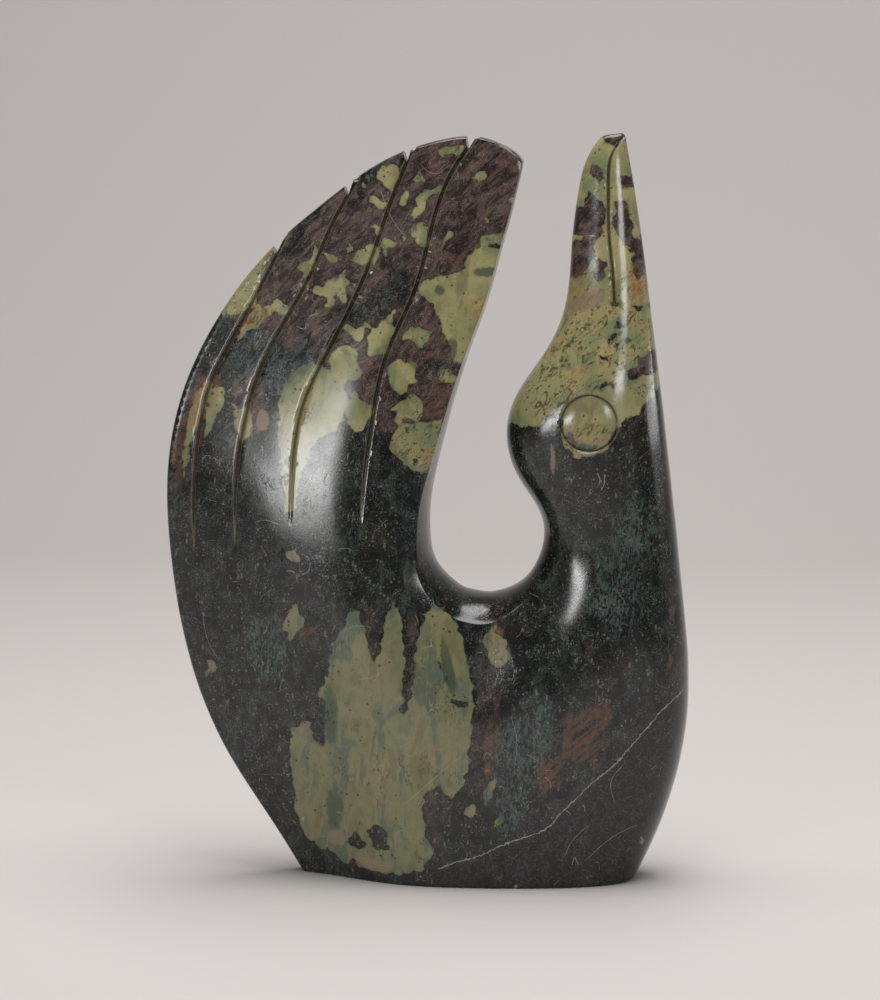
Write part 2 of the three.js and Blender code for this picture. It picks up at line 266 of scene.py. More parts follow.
def path_field(places, points, samples=70, reach=14.0):
    """Distance across a smooth path, positive on its left, distance along it from its
    start, both in mm, the path's length, and its leftward direction, for every place
    within reach.  Past an end, the distance along goes on straight."""
    path = smooth_path(points, samples)
    steps = np.diff(path, axis=0)
    lengths = np.hypot(steps[:, 0], steps[:, 1])
    ways = steps / lengths[:, None]
    starts = np.append(0, np.cumsum(lengths))
    across = np.full(len(places), FAR)
    along = np.full(len(places), -FAR)
    inside = (places > path.min(0) - reach) & (places < path.max(0) + reach)
    near = np.flatnonzero(inside.all(1))
    offset = places[near, None, :] - path[None, :-1]
    forward = (offset * ways).sum(2)
    left = ways[:, 0] * offset[:, :, 1] - ways[:, 1] * offset[:, :, 0]
    missed = forward - np.clip(forward, 0, lengths)
    best = np.hypot(left, missed).argmin(1)
    rows = np.arange(len(near))
    across[near] = left[rows, best]
    along[near] = starts[best] + forward[rows, best]
    leftward = np.zeros((len(places), 2))
    leftward[near] = ways[best][:, ::-1] * (-1, 1)
    return across, along, starts[-1], leftward


def ellipse_field(places, x, z, width, height, turn=0.0):
    """About how deep each place lies inside an ellipse, in mm, negative outside."""
    angle = math.radians(turn)
    dx, dz = places[:, 0] - x, places[:, 1] - z
    a = (dx * math.cos(angle) + dz * math.sin(angle)) / (width / 2)
    b = (dz * math.cos(angle) - dx * math.sin(angle)) / (height / 2)
    return (1 - np.hypot(a, b)) * min(width, height) / 2


def polygon_field(places, corners):
    """How deep each place lies inside an outline, in mm, negative outside: the distance to
    its nearest side, with the sign told by how often a line to the right crosses it."""
    corners = np.array(corners, float)
    depth = np.full(len(places), -FAR)
    near = np.flatnonzero(((places > corners.min(0) - 25) & (places < corners.max(0) + 25)).all(1))
    inside = np.zeros(len(near), bool)
    nearest = np.full(len(near), FAR)
    here = places[near]
    for start, end in zip(corners, np.roll(corners, -1, axis=0)):
        side = end - start
        part = np.clip(((here - start) @ side) / (side @ side), 0, 1)
        nearest = np.minimum(nearest, np.hypot(*(here - start - part[:, None] * side).T))
        if start[1] != end[1]:
            spans = (start[1] > here[:, 1]) != (end[1] > here[:, 1])
            crossing = start[0] + (here[:, 1] - start[1]) / side[1] * side[0]
            inside ^= spans & (here[:, 0] < crossing)
    depth[near] = np.where(inside, nearest, -nearest)
    return depth


def ramp(value, low, high):
    """0 below low, 1 above high, and a smooth step between."""
    part = np.clip((value - low) / (high - low), 0, 1)
    return part**2 * (3 - 2 * part)


# ---------------------------------------------------------------- carving

EYE_DOME = 17.1                        # radius of the eye's dome, in mm
EYE_RING = 18.5                        # radius of the bottom of the ring
EYE_RIM = 20.2                         # radius of the ring's outer lip
EYE_SHOULDER = 1.0                     # how far the dome falls before the ring
EYE_DEPTH = 1.7
NOSTRIL_RADIUS = 2.3
DOME_POWER = 3.5
BEAK_LINE_WIDTH = 3.0
BEAK_LINE_DEPTH = 2.2
BEAK_LINE_LEAD = 6.0                   # how far a line starts before its first point
FEATHER_LEAD = 12.0
FEATHER_POWER = 7                      # how late along a feather groove it runs out
GROOVE_ROUNDING = 0.35                 # of the bottom, in half widths
GROOVE_LIP = 0.16                      # wear of the lips, as a part of the depth
GROOVE_REACH = 1.35                    # where the rubbed-down lips end, in half widths
STROKE_DEPTH = 0.32
STROKE_HALF_WIDTH = 0.42
STROKE_FADE = 0.3

# Lines beside a cut's middle, in half widths, that the mesh's edges follow.
CUT_LINES = np.array([-1.16, -0.84, -0.42, 0, 0.42, 0.84, 1.16])
CUT_REACH = 3.2                        # points this near a cut's middle follow its lines
CUT_LEAD = 9.0                         # and so do points this far before its start
SNAP_REACH = 0.3                       # the farthest a point is moved onto a line
SNAP_SHARE = 0.2                       # and the farthest as a part of the half width
RING_REACH = 3.0
RING_SNAP = 0.28
LEAST_FACING = 0.3                     # a point that faces the front less than this stays

# Where the mesh is fine: beside, before and after a cut, between two rings of the eye,
# and round the middle of the strokes.
FINE_FEATHER = (3.0, CUT_LEAD, 3.0)
FINE_BEAK = (2.2, 6.0, 4.0)
FINE_EYE = (15.0, 22.2)
FINE_STROKES = ((-73.5, 6.0), (13.0, 4.0))
FOOT_BAND = (-0.5, 2.5)                # heights at which the foot's edge is rounded
HIDDEN_BELOW = -6.0                    # lower than this the skin is sawn away

BACK_COARSENESS = 1.5
STROKE_MESH_EDGE = 0.45
FOOT_MESH_EDGE = 1.4
HIDDEN_MESH_EDGE = 20.0
SHORTEST_MESH_EDGE = 0.4
REFINE_PASSES = 7
BAND_ROWS = 200                        # of the grid before it is refined
WALL_COLUMNS, FACE_COLUMNS, RIM_COLUMNS = 7, 21, 6
ARRIS_COLUMNS = np.array([-1.2, -0.6, 0, 0.6, 1.2])
END_ROWS = np.array([0.04, 0.2, 0.5, 1.0])
HALF_CUT_LENGTH = 250.0                # about how far half a cut runs round the stone

# Short shallow strokes in a row at the foot: x, z, lean in degrees and length.
FOOT_STROKES = tuple(
    (
        -83.5 + 2.05 * i,
        6.6 - 0.12 * i + 0.5 * ((i * 7) % 3 - 1),
        (i * 37) % 50 - 25,
        2.6 + 0.6 * ((i * 5) % 3),
    )
    for i in range(11)
)


def groove_depth(across, half_width, depth):
    """The depth of a filed groove: a V with a rounded bottom and rubbed-down lips."""
    part = np.abs(across) / np.maximum(half_width, 0.05)
    full = math.hypot(1, GROOVE_ROUNDING) - GROOVE_ROUNDING
    height = 1 - (np.hypot(part, GROOVE_ROUNDING) - GROOVE_ROUNDING) / full
    return depth * np.where(part < GROOVE_REACH, (height + np.hypot(height, GROOVE_LIP)) / 2, 0)


def feather_size(along, length):
    """How much of a feather groove's full size is left: all of it from the rim, then
    less and less to nothing at its lower end."""
    return np.where(along > length, 0, 1.0 - np.clip(along / length, 0, 1) ** FEATHER_POWER)


def feather_half_width(left, sizes):
    """Half a feather groove's width, in mm, where that much of its full size is left."""
    return sizes.groove_width / 2 / MM * (0.55 + 0.45 * left)


def beak_line_size(along, length):
    """The beak line starts as a fine scratch at the tip and soon widens."""
    return 0.5 + 0.5 * ramp(along / length, 0, 0.2)


def carved_depth(places, sizes):
    """How deep the tools cut at each place: the feather grooves, the beak line with its
    pit, the ring round the eye and the strokes at the foot."""
    depth = np.zeros(len(places))
    for points in FEATHER_GROOVES:
        across, along, length, _ = path_field(places, points)
        left = feather_size(along, length)
        cut = groove_depth(across, feather_half_width(left, sizes), sizes.groove_depth / MM * left)
        depth = np.maximum(depth, np.where(along > -FEATHER_LEAD, cut, 0))
    across, along, length, _ = path_field(places, BEAK_LINE)
    widen = beak_line_size(along, length)
    cut = groove_depth(across, BEAK_LINE_WIDTH / 2 * widen, BEAK_LINE_DEPTH * widen)
    depth = np.maximum(depth, np.where((along > -BEAK_LINE_LEAD) & (along < length), cut, 0))
    off = np.hypot(*(places - NOSTRIL).T)
    depth = np.maximum(depth, np.sqrt(np.maximum(NOSTRIL_RADIUS**2 - off**2, 0)))
    off = np.hypot(*(places - EYE).T)
    dome = EYE_SHOULDER * np.clip(off / EYE_DOME, 0, 1) ** DOME_POWER
    inner = dome + (EYE_DEPTH - EYE_SHOULDER) * ramp(off, EYE_DOME, EYE_RING)
    outer = EYE_DEPTH * (EYE_RIM - off) / (EYE_RIM - EYE_RING)
    depth = np.maximum(depth, np.maximum(np.minimum(inner, outer), 0))
    for x, z, lean, length in FOOT_STROKES:
        angle = math.radians(lean)
        dx, dz = places[:, 0] - x, places[:, 1] - z
        side = dx * math.cos(angle) + dz * math.sin(angle)
        way = np.abs(dz * math.cos(angle) - dx * math.sin(angle))
        cut = STROKE_DEPTH * np.clip(1 - np.abs(side) / STROKE_HALF_WIDTH, 0, 1)
        cut *= ramp(way, length / 2 + STROKE_FADE, length / 2 - STROKE_FADE)
        depth = np.maximum(depth, cut)
    return depth


def onto_lines(offset, lines, reach):
    """How far each point has to move to come onto the nearest of the lines beside a path,
    where that is within reach; the lines are multiples of a half width."""
    gaps = lines - offset[:, None]
    nearest = gaps[np.arange(len(gaps)), np.abs(gaps).argmin(1)]
    return np.where(np.abs(nearest) < reach, nearest, 0)


def snap_to_cuts(points, normals, sizes):
    """Moves points that lie close to a lip, a wall's middle or a bottom of a carved line
    onto it, along the skin, so that the mesh's edges follow the carving."""
    places = points[:, [0, 2]]
    moves = np.zeros_like(places)
    for points_of_line in (*FEATHER_GROOVES, BEAK_LINE):
        across, along, length, leftward = path_field(places, points_of_line)
        if points_of_line is BEAK_LINE:
            half_width = BEAK_LINE_WIDTH / 2 * beak_line_size(along, length)
        else:
            half_width = feather_half_width(feather_size(along, length), sizes)
        near = (np.abs(across) < CUT_REACH) & (along > -CUT_LEAD) & (along < length)
        near = np.flatnonzero(near)
        reach = np.minimum(SNAP_REACH, SNAP_SHARE * half_width[near])
        shift = onto_lines(across[near], half_width[near, None] * CUT_LINES, reach)
        moves[near] = leftward[near] * shift[:, None]
    outward = places - EYE
    off = np.hypot(*outward.T)
    near = np.flatnonzero(np.abs(off - EYE_RING) < RING_REACH)
    halfway = (EYE_DOME + EYE_RING) / 2, (EYE_RING + EYE_RIM) / 2
    circles = np.array([[EYE_DOME, halfway[0], EYE_RING, halfway[1], EYE_RIM]])
    shift = onto_lines(off[near], circles, RING_SNAP)
    moves[near] = outward[near] / off[near, None] * shift[:, None]
    facing = np.where(np.abs(normals[:, 1]) > LEAST_FACING, normals[:, 1], np.inf)
    forward = -(moves[:, 0] * normals[:, 0] + moves[:, 1] * normals[:, 2]) / facing
    moves[np.isinf(facing)] = 0
    return points + np.column_stack((moves[:, 0], forward, moves[:, 1]))


def hand_waver(points, height):
    """The unevenness that rubbing by hand leaves: long low waves that cross each other."""
    x, y, z = points.T
    first = np.sin(x / 9.1 + z / 14.3 + y / 21 + 0.6) * np.sin(z / 11.7 - x / 23 + 1.9)
    second = np.sin(x / 17.3 - z / 8.9 + y / 13 + 2.2) * np.sin(x / 12.1 + z / 19 + 0.4)
    return height * (0.6 * first + 0.4 * second)


def detail_size(places, front, sizes):
    """The longest mesh edge allowed at each place: short along the tool cuts and the
    foot, longer on the open skin, and longer still on the back."""
    skin = np.where(front, sizes.front_edge / MM, sizes.back_edge / MM)
    cut = np.where(front, sizes.cut_edge / MM, BACK_COARSENESS * sizes.cut_edge / MM)
    close = np.zeros(len(places), bool)
    lines = [(points, FINE_FEATHER) for points in FEATHER_GROOVES] + [(BEAK_LINE, FINE_BEAK)]
    for points, (beside, before, after) in lines:
        across, along, length, _ = path_field(places, points, samples=30)
        close |= (np.abs(across) < beside) & (along > -before) & (along < length + after)
    off = np.hypot(*(places - EYE).T)
    close |= (off > FINE_EYE[0]) & (off < FINE_EYE[1])
    size = np.where(close, cut, skin)
    foot = (places[:, 1] > FOOT_BAND[0]) & (places[:, 1] < FOOT_BAND[1])
    size = np.where(foot, np.minimum(size, FOOT_MESH_EDGE), size)
    size = np.where(places[:, 1] < HIDDEN_BELOW, HIDDEN_MESH_EDGE, size)
    strokes = (np.abs(places - FINE_STROKES[0]) < FINE_STROKES[1]).all(1) & front
    return np.where(strokes, STROKE_MESH_EDGE, size)


def refine(along, around, triangles, surface, longest):
    """Splits, at its middle, every edge that is longer than is allowed there, until none
    is.  A triangle with one, two or three split edges becomes two, three or four."""
    for _ in range(REFINE_PASSES):
        points = surface(along, around)
        edges = np.sort(triangles[:, [[0, 1], [1, 2], [2, 0]]], axis=2).reshape(-1, 2)
        number = edges[:, 0] * len(along) + edges[:, 1]
        _, first, where = np.unique(number, return_index=True, return_inverse=True)
        edges, where = edges[first], where.reshape(-1, 3)
        ends = points[edges]
        length = np.linalg.norm(ends[:, 1] - ends[:, 0], axis=1)
        long = np.flatnonzero(length > SHORTEST_MESH_EDGE)
        middle = ends[long].mean(axis=1)
        split = np.zeros(len(edges), bool)
        split[long] = length[long] > longest(middle[:, [0, 2]], middle[:, 1] < 0)
        if not split.any():
            break
        number = np.full(len(edges), -1)
        number[split] = len(along) + np.arange(split.sum())
        a, b = edges[split].T
        turn = (around[b] - around[a] + 1) % 2 - 1
        along = np.append(along, (along[a] + along[b]) / 2)
        around = np.append(around, (around[a] + turn / 2 + 1) % 2 - 1)
        middles = number[where]
        count = (middles >= 0).sum(1)
        parts = [triangles[count == 0]]
        t, m = triangles[count == 1], middles[count == 1]
        t, m = rolled(t, m, (m >= 0).argmax(1))
        parts += [stack(t[:, 0], m[:, 0], t[:, 2]), stack(m[:, 0], t[:, 1], t[:, 2])]
        t, m = triangles[count == 2], middles[count == 2]
        t, m = rolled(t, m, ((m < 0).argmax(1) + 1) % 3)
        parts += [stack(m[:, 0], t[:, 1], m[:, 1]), stack(t[:, 0], m[:, 0], m[:, 1])]
        parts += [stack(t[:, 0], m[:, 1], t[:, 2])]
        t, m = triangles[count == 3], middles[count == 3]
        parts += [stack(t[:, 0], m[:, 0], m[:, 2]), stack(m[:, 0], t[:, 1], m[:, 1])]
        parts += [stack(m[:, 2], m[:, 1], t[:, 2]), stack(m[:, 0], m[:, 1], m[:, 2])]
        triangles = np.concatenate(parts)
    return along, around, triangles


def stack(*corners):
    """Rows made of one value from each array."""
    return np.column_stack(corners)


def rolled(triangles, middles, first):
    """Each triangle and its edge middles, turned so that they start at the given corner."""
    order = (first[:, None] + np.arange(3)) % 3
    rows = np.arange(len(triangles))[:, None]
    return triangles[rows, order], middles[rows, order]


def close_end(along, around, triangles, points, end):
    """Closes the band's open end with a flat fan from its middle."""
    ring = np.flatnonzero(along == end)
    ring = ring[np.argsort(around[ring])]
    centre = len(points)
    points = np.vstack((points, points[ring].mean(0)))
    following = np.roll(ring, -1)
    fan = stack(ring, following, np.full(len(ring), centre))
    return points, np.concatenate((triangles, fan if end == 0 else fan[:, ::-1]))


def mesh_from(name, points, faces):
    """A mesh of these points, in mm, and faces."""
    mesh = bpy.data.meshes.new(name)
    mesh.from_pydata((points * MM).tolist(), [], faces.tolist())
    mesh.update()
    return mesh


def vertex_normals(mesh):
    """The mesh's normals, one row for each of its points."""
    normals = np.empty(3 * len(mesh.vertices), np.float32)
    mesh.vertex_normals.foreach_get("vector", normals)
    return normals.reshape(-1, 3)


def carved_skin(sizes):
    """The whole skin as a mesh: the band's grid, refined where it is carved, closed at
    both ends, and pressed in along its normals by the tools' depth."""
    _, length = station_curve()
    rim = sizes.end_rounding / MM
    soft = sizes.arris_softness / MM / HALF_CUT_LENGTH

    def surface(along, around):
        return band_surface(along, around, rim, soft)

    near_end = END_ROWS * rim / length
    rows = np.unique(np.concatenate((near_end, np.linspace(0, 1, BAND_ROWS), 1 - near_end)))
    wall = np.linspace(0, WALL_END, WALL_COLUMNS)[:-1]
    arris = WALL_END + soft * ARRIS_COLUMNS
    face = np.linspace(WALL_END, FACE_END, FACE_COLUMNS)[1:]
    round_rim = np.linspace(FACE_END, 1, RIM_COLUMNS)[1:]
    half = np.unique(np.concatenate((wall, arris, face, round_rim)))
    ring = np.concatenate((-half[:0:-1], half))[:-1]
    along, around = (part.ravel() for part in np.meshgrid(rows, ring, indexing="ij"))
    row, column = np.meshgrid(np.arange(len(rows) - 1), np.arange(len(ring)), indexing="ij")
    here = (row * len(ring) + column).ravel()
    beside = (row * len(ring) + (column + 1) % len(ring)).ravel()
    above, across = here + len(ring), beside + len(ring)
    triangles = np.concatenate((stack(here, above, across), stack(here, across, beside)))

    def longest(places, front):
        return detail_size(places, front, sizes)

    along, around, triangles = refine(along, around, triangles, surface, longest)
    points = surface(along, around)
    points, triangles = close_end(along, around, triangles, points, 0.0)
    points, triangles = close_end(along, around, triangles, points, 1.0)
    mesh = mesh_from("carving", points, triangles)
    normals = vertex_normals(mesh)
    points = snap_to_cuts(points, normals, sizes)
    press = carved_depth(points[:, [0, 2]], sizes) + hand_waver(points, sizes.hand_waver / MM)
    press += abs(sizes.hand_waver) / MM
    points = points - normals * press[:, None]
    foot = sizes.foot_rounding / MM
    low = np.clip(foot - points[:, 2], 0, foot)
    level = normals * (1, 1, 0)
    points = points - level * (foot - np.sqrt(foot**2 - low**2))[:, None]
    mesh.vertices.foreach_set("co", (points * MM).astype(np.float32).ravel())
    mesh.update()
    return mesh


def blocks(outlines, reach):
    """Closed blocks in one mesh: each outline of x and z, anticlockwise from the front, is
    carried along y from minus its reach to plus its reach, in mm."""
    points, faces, first = [], [], 0
    for outline, half in zip(outlines, reach):
        here = first + np.arange(len(outline))
        there = here + len(outline)
        x, z = np.array(outline, float).T
        points += [stack(x, np.full(len(x), y), z) for y in (-half, half)]
        faces += stack(np.roll(here, -1), here, there, np.roll(there, -1)).tolist()
        faces += [here.tolist(), there[::-1].tolist()]
        first += 2 * len(outline)
    mesh = bpy.data.meshes.new("cutter")
    mesh.from_pydata((np.concatenate(points) * MM).tolist(), [], faces)
    mesh.update()
    return mesh


def nick_outline(left, bottom, right):
    """A nick's triangle, drawn out past the rim."""
    bottom = np.array(bottom)
    return [tuple(bottom), *(tuple(bottom + 1.8 * (corner - bottom)) for corner in (right, left))]


def placed(name, data):
    """A new object with that data, in the scene."""
    piece = bpy.data.objects.new(name, data)
    bpy.context.scene.collection.objects.link(piece)
    return piece


def cut_away(piece, cutter_mesh):
    """Takes the cutter's room out of the piece and puts the result in its mesh."""
    cutter = placed("cutter", cutter_mesh)
    modifier = piece.modifiers.new("cut", "BOOLEAN")
    modifier.operation = "DIFFERENCE"
    modifier.solver = "MANIFOLD"
    modifier.object = cutter
    graph = bpy.context.evaluated_depsgraph_get()
    result = bpy.data.meshes.new_from_object(piece.evaluated_get(graph))
    piece.modifiers.clear()
    old = piece.data
    piece.data = result
    bpy.data.meshes.remove(old)
    bpy.data.objects.remove(cutter)
    bpy.data.meshes.remove(cutter_mesh)


# ---------------------------------------------------------------- the stone's pattern

# Olive patches as outlines, and dark places inside them, all as x and z.
BIG_LOW_PATCH = (
    (-87, 104), (-80, 108.5), (-75, 108.5), (-72, 100), (-67, 94), (-64, 112), (-68.5, 130),
    (-63, 143), (-60, 160), (-53, 174), (-47, 186), (-43, 187), (-40, 181), (-37, 171), (-33, 157),
    (-31.5, 150), (-27, 161), (-24, 178), (-21.5, 187), (-18.5, 194), (-14, 183), (-11.5, 164),
    (-10, 153), (-12, 135), (-9, 120), (-6, 135), (-3, 157), (-1.5, 174), (3, 186), (8.5, 189),
    (18.5, 183), (23, 178.5), (27, 167), (31, 153), (34, 138.5), (35.5, 126), (33, 114), (33, 100),
    (31.5, 86), (27, 66), (21.5, 62), (15.5, 67), (13, 71), (4, 66), (1, 50), (3, 36), (8.5, 26),
    (0, 11.5), (-10, 8.5), (-24, 7), (-38.5, 8), (-47, 14), (-54, 11), (-67, 18.5), (-74, 21),
    (-83, 28.5), (-87, 41), (-89, 57), (-91, 71), (-90, 86), (-88.5, 100),
)
GAP_EDGE_PATCH = (
    (60, 434), (52.5, 434), (43.5, 434), (37.5, 432), (36, 425), (31, 420), (26, 415), (27, 411),
    (20, 409), (10, 407.5), (0, 405), (-3, 398), (-4, 395), (2.5, 390.5), (6, 387), (10, 379),
    (12.5, 369), (16, 361), (19, 351), (26, 350), (31, 350), (45, 390), (62, 434),
)
HEAD_PATCH = (
    (40, 308), (62.5, 308), (72, 307), (79, 311), (84, 317), (90, 319), (93, 311), (90, 303),
    (95, 296),
    (103, 290), (114, 290), (122, 297), (129, 308), (136, 315), (142, 319), (149, 326), (156, 337),
    (175, 345), (175, 505), (100, 505), (80, 464), (80, 410), (70, 360), (40, 330),
)
# Plum and dark places in the head's olive, drawn as outlines.
BEAK_DARKS = (
    ((116, 502), (130, 502), (129.5, 495.5), (123.4, 491.8), (117.8, 494.2)),
    ((108.8, 478), (112.4, 480), (116.5, 478), (117.7, 469.6), (114.3, 465), (110, 471.5)),
    ((106.5, 463), (110.8, 459.5), (115.3, 453.5), (118, 450.5), (119.2, 441), (115.3, 433),
     (90, 433), (92, 450), (104.3, 453.5), (106.3, 458.5)),
    ((90, 430), (111, 430.5), (111, 421), (107.5, 413), (104, 407), (90, 402)),
    ((111.5, 415), (115, 418), (118.6, 415), (118.8, 407), (113.7, 404), (110.5, 409)),
    ((124, 470.5), (128, 472.5), (140, 472), (142, 464), (131, 464.5), (127.8, 467.5)),
    ((125, 455), (131, 457), (134.2, 453.5), (135.4, 443), (137.6, 432), (141.7, 432), (144, 419),
     (147, 413), (143, 407), (138, 403), (136, 413), (136.8, 421), (131.6, 427), (126.5, 431),
     (123.6, 441)),
    ((133, 346.5), (139, 348.5), (143, 354), (147, 357.5), (160, 358), (160, 346), (147.3, 342),
     (136, 340.5)),
    ((136, 388.5), (142, 386.5), (149, 388), (149, 386), (142, 384.3), (139, 386)),
    ((94, 302), (99, 296), (106, 293), (113, 293), (119, 297), (112, 298.5), (104, 299), (98, 305)),
)
OLIVE_OUTLINES = (
    BIG_LOW_PATCH,
    GAP_EDGE_PATCH,
    HEAD_PATCH,
    ((-34, 471), (-29, 477.5), (-22.5, 479), (-18, 478), (-17.5, 470), (-20.5, 465),
     (-22.5, 459.5), (-29, 466)),
    ((-14, 310), (-2.5, 311), (12.5, 312.5), (9, 292), (4, 277), (0, 275), (-7.5, 280), (-16, 287),
     (-22.5, 294), (-20, 300)),
    ((-100, 388), (-111, 383), (-118.5, 378.5), (-125, 366), (-127, 360), (-120, 366),
     (-108.5, 373), (-102, 378.5)),
    ((-103, 424), (-104, 411), (-110, 399), (-113, 387), (-120, 380), (-138, 378),
     (-130, 400), (-112, 420)),
    ((-147, 336), (-141, 332), (-144, 322), (-149.5, 314), (-154, 301), (-158, 286), (-161, 271),
     (-165, 262), (-164, 282), (-160, 301), (-157, 316), (-153, 328)),
    ((-144, 322), (-140, 330), (-134, 331.5), (-133, 322), (-137, 314.5), (-144, 301),
     (-147.5, 297), (-146, 310)),
    ((-129, 321), (-122.5, 317), (-115, 322), (-116, 301), (-122, 293.5), (-127.5, 305)),
    # This patch lies where the wing's highlight band falls: partly the stone's own olive, partly a
    # painted highlight standing in for a lamp.
    ((-96, 330), (-80, 350), (-62, 345), (-50, 330), (-56, 305), (-70, 300), (-80, 280), (-84, 252),
     (-92, 250), (-93, 280), (-97, 305)),
)

# Round and leaf-shaped patches: x, z, width, height and turn to the left in degrees.
OLIVE_SPOTS = (
    (13.5, 489, 10, 5, 8), (24, 488, 4, 8, -15), (24, 478, 4, 3, 0), (35.5, 470.5, 9, 8, -20),
    (54.5, 454, 6, 3.5, 0), (40.5, 443.5, 6, 3, 10), (16.5, 429.5, 6, 6.5, 0),
    (-32.5, 453, 11, 9, 0),
    (-40, 464, 4, 6, 20), (-15.5, 456, 6, 8, -10), (-4, 467.5, 5, 4, 0), (3, 461, 14, 5.5, 8),
    (-5.5, 450, 7, 15, -5), (-1, 432, 9, 18, -4), (-8.5, 434, 6, 5, 0), (-17, 431.5, 4, 3, 0),
    (-32, 434, 4, 7, 0), (-39.5, 417.5, 21, 15, 40), (-24, 425, 11, 9, 0), (-50.5, 423, 2.5, 5, 0),
    (-64, 417.5, 7, 5, 0), (-76.5, 413, 7, 17, -25), (-59, 399, 15, 14, 20), (-55, 409, 6, 8, 0),
    (-67, 397, 14, 4, 15), (-52, 400, 8, 6, 0), (-57, 390, 6, 8, 0), (-66, 388, 9, 5, 20),
    (-80, 394, 4, 12, -30), (-28, 366, 16, 26, -12), (-23, 381, 4, 12, -15), (-45, 370, 11, 9, 0),
    (-52, 348, 20, 25, 0), (-4.5, 367, 13, 20, 22), (-15, 342, 18, 22, -10), (17, 341, 11, 10, 0),
    (-10, 319, 20, 17, 25), (-43, 316, 17, 24, -10), (-95, 384, 11, 8, 0), (-84, 222, 9, 11, 0),
    (-86, 177, 10, 24, -8), (49, 163, 13, 24, 12), (-146, 140, 5, 14, -10),
    (46, 69, 6, 20, -12), (34, 55, 9, 6, 0), (52, 46, 8, 7, 0),
    (113.5, 427, 7, 18, 0), (112, 475, 8, 9, 0),
)

# Dark places inside olive ones, in the same way.
DARK_SPOTS = (
    (-69, 112, 9, 34, -6), (9, 53, 13, 33, -18), (-29, 32, 13, 18, 0), (-44, 27, 9, 9, 0),
    (14, 144, 3.5, 9, 12), (-9, 133, 6, 20, -6), (27, 126, 11, 5, 0), (46, 424.5, 9, 5, -8),
    (122, 367, 7, 3, 35), (128, 374, 6, 2.5, 40), (119, 354, 7, 2.5, 15), (117, 335.5, 7, 3, 10),
    (126, 336, 4, 3, 0), (-5, 285, 4, 3, 0), (4, 293, 3, 5, 0), (130, 362, 7, 2, 30),
)

# Rust and tan tints: x, z, width, height, turn.
RUST_SPOTS = (
    (108, 105, 34, 50, -35), (86, 80, 20, 26, -35), (50, 172, 10, 8, 0), (19, 418, 11, 10, 0),
    (35, 385, 9, 22, -15), (101, 402, 16, 24, 0), (142, 402, 12, 26, 0), (114, 370, 13, 8, 20),
    (108, 347, 14, 6, 20), (10, 325, 13, 22, -10), (-75, 169, 11, 12, 0), (165, 187, 4, 24, 0),
    (163, 152, 5, 12, 0), (10, 93, 4, 16, -12), (19, 116, 3, 8, 20), (-3.5, 47, 3, 5, 0),
    (-92, 425, 9, 8, -30), (-105, 418, 7, 5, -30), (-18, 287, 5, 14, 30), (58, 476, 5, 10, 0),
    (-150, 320, 16, 50, -22), (-166, 290, 10, 70, -8), (-118, 378, 26, 12, 30),
    (45, 95, 5, 40, -5), (-115, 372, 14, 4, 30), (-20, 470, 8, 14, 0), (-107, 310, 10, 16, 0),
)
TAN_SPOTS = (
    (-59, 28, 13, 13, 20), (86, 289, 4, 24, 0), (-107, 310, 9, 14, 0), (107, 391, 30, 12, 20),
    (-60, 470, 3, 3, 0), (-32, 12, 30, 8, 0),
)
TEAL_SPOTS = (
    (70, 100, 40, 70, -15), (-60, 450, 22, 30, 0), (-100, 405, 22, 24, 0), (-61, 115, 12, 50, 0),
    (-60, 50, 14, 40, 0), (18, 150, 8, 40, 12), (40, 409, 17, 7, 5), (10, 397, 9, 9, 0),
    (-38, 411, 12, 7, 35), (-105, 160, 30, 50, 0), (140, 240, 30, 60, 0), (-1, 335, 16, 6, 0),
    (16, 355, 10, 26, -20), (-100, 350, 60, 45, 0), (130, 200, 40, 60, 0), (60, 60, 20, 50, -10),
)
# Plum ground: broad soft places, the wing's top most of all.
PLUM_SPOTS = (
    (20, 450, 110, 100, 0), (-45, 430, 90, 70, 35), (-80, 395, 70, 60, 40), (0, 370, 60, 50, 0),
    (-30, 345, 80, 60, 0), (5, 320, 40, 60, 0), (-31, 165, 12, 40, 0), (-6, 160, 10, 60, 0),
    (8, 52, 18, 40, 0), (45, 125, 16, 110, -5), (118, 450, 70, 110, 0), (146, 350, 30, 20, 0),
    (-75, 169, 14, 20, 0), (-118, 320, 24, 40, 0), (-158, 300, 20, 80, -12),
)

# Where the olive is full of dark strokes, and where the ground holds small olive islets.
BUSY_SPOTS = (
    (80, 345, 50, 60, 20), (118, 362, 64, 60, 0), (108, 300, 50, 22, 0), (10, 325, 34, 44, -10),
    (-5, 293, 34, 34, 0), (105, 402, 24, 30, 0), (140, 402, 14, 26, 0), (-112, 372, 30, 20, 30),
)
ISLET_SPOTS = (
    (-30, 420, 130, 110, 30), (-10, 350, 80, 60, 0), (-150, 310, 40, 110, -15),
    (45, 90, 60, 100, 0),
)

MAIN_VEIN = (
    (12, 13), (20, 17), (37, 22), (53, 30), (63, 34), (78, 39), (87, 45), (95, 55), (103, 62),
    (112, 72), (120, 78), (130, 87), (137, 95), (143, 102), (162, 123), (172, 131),
)
SIDE_VEINS = (
    ((-54, 171), (-45, 176), (-33, 176)),
    ((-41, 141), (-34, 142), (-25, 147)),
    ((-11, 57), (0, 67), (13, 79), (27, 91)),
    ((-24, 87), (-27, 76), (-31, 70)),
    ((-112, 242), (-105, 244), (-97, 242)),
    ((110, 20), (118, 28), (137, 40), (143, 42)),
    ((95, 22), (101, 34), (112, 44)),
    ((128, 60), (126, 74), (133, 84)),
    ((-30, 462), (-20, 440), (-12, 431)),
    ((100, 432), (106, 433), (113, 433)),
    ((-3, 478), (8, 473), (17, 479), (22, 470)),
    ((-150, 178), (-147, 160), (-139, 146)),
    ((60, 118), (64, 100), (62, 84)),
    ((-86, 380), (-95, 386), (-102, 383)),
)

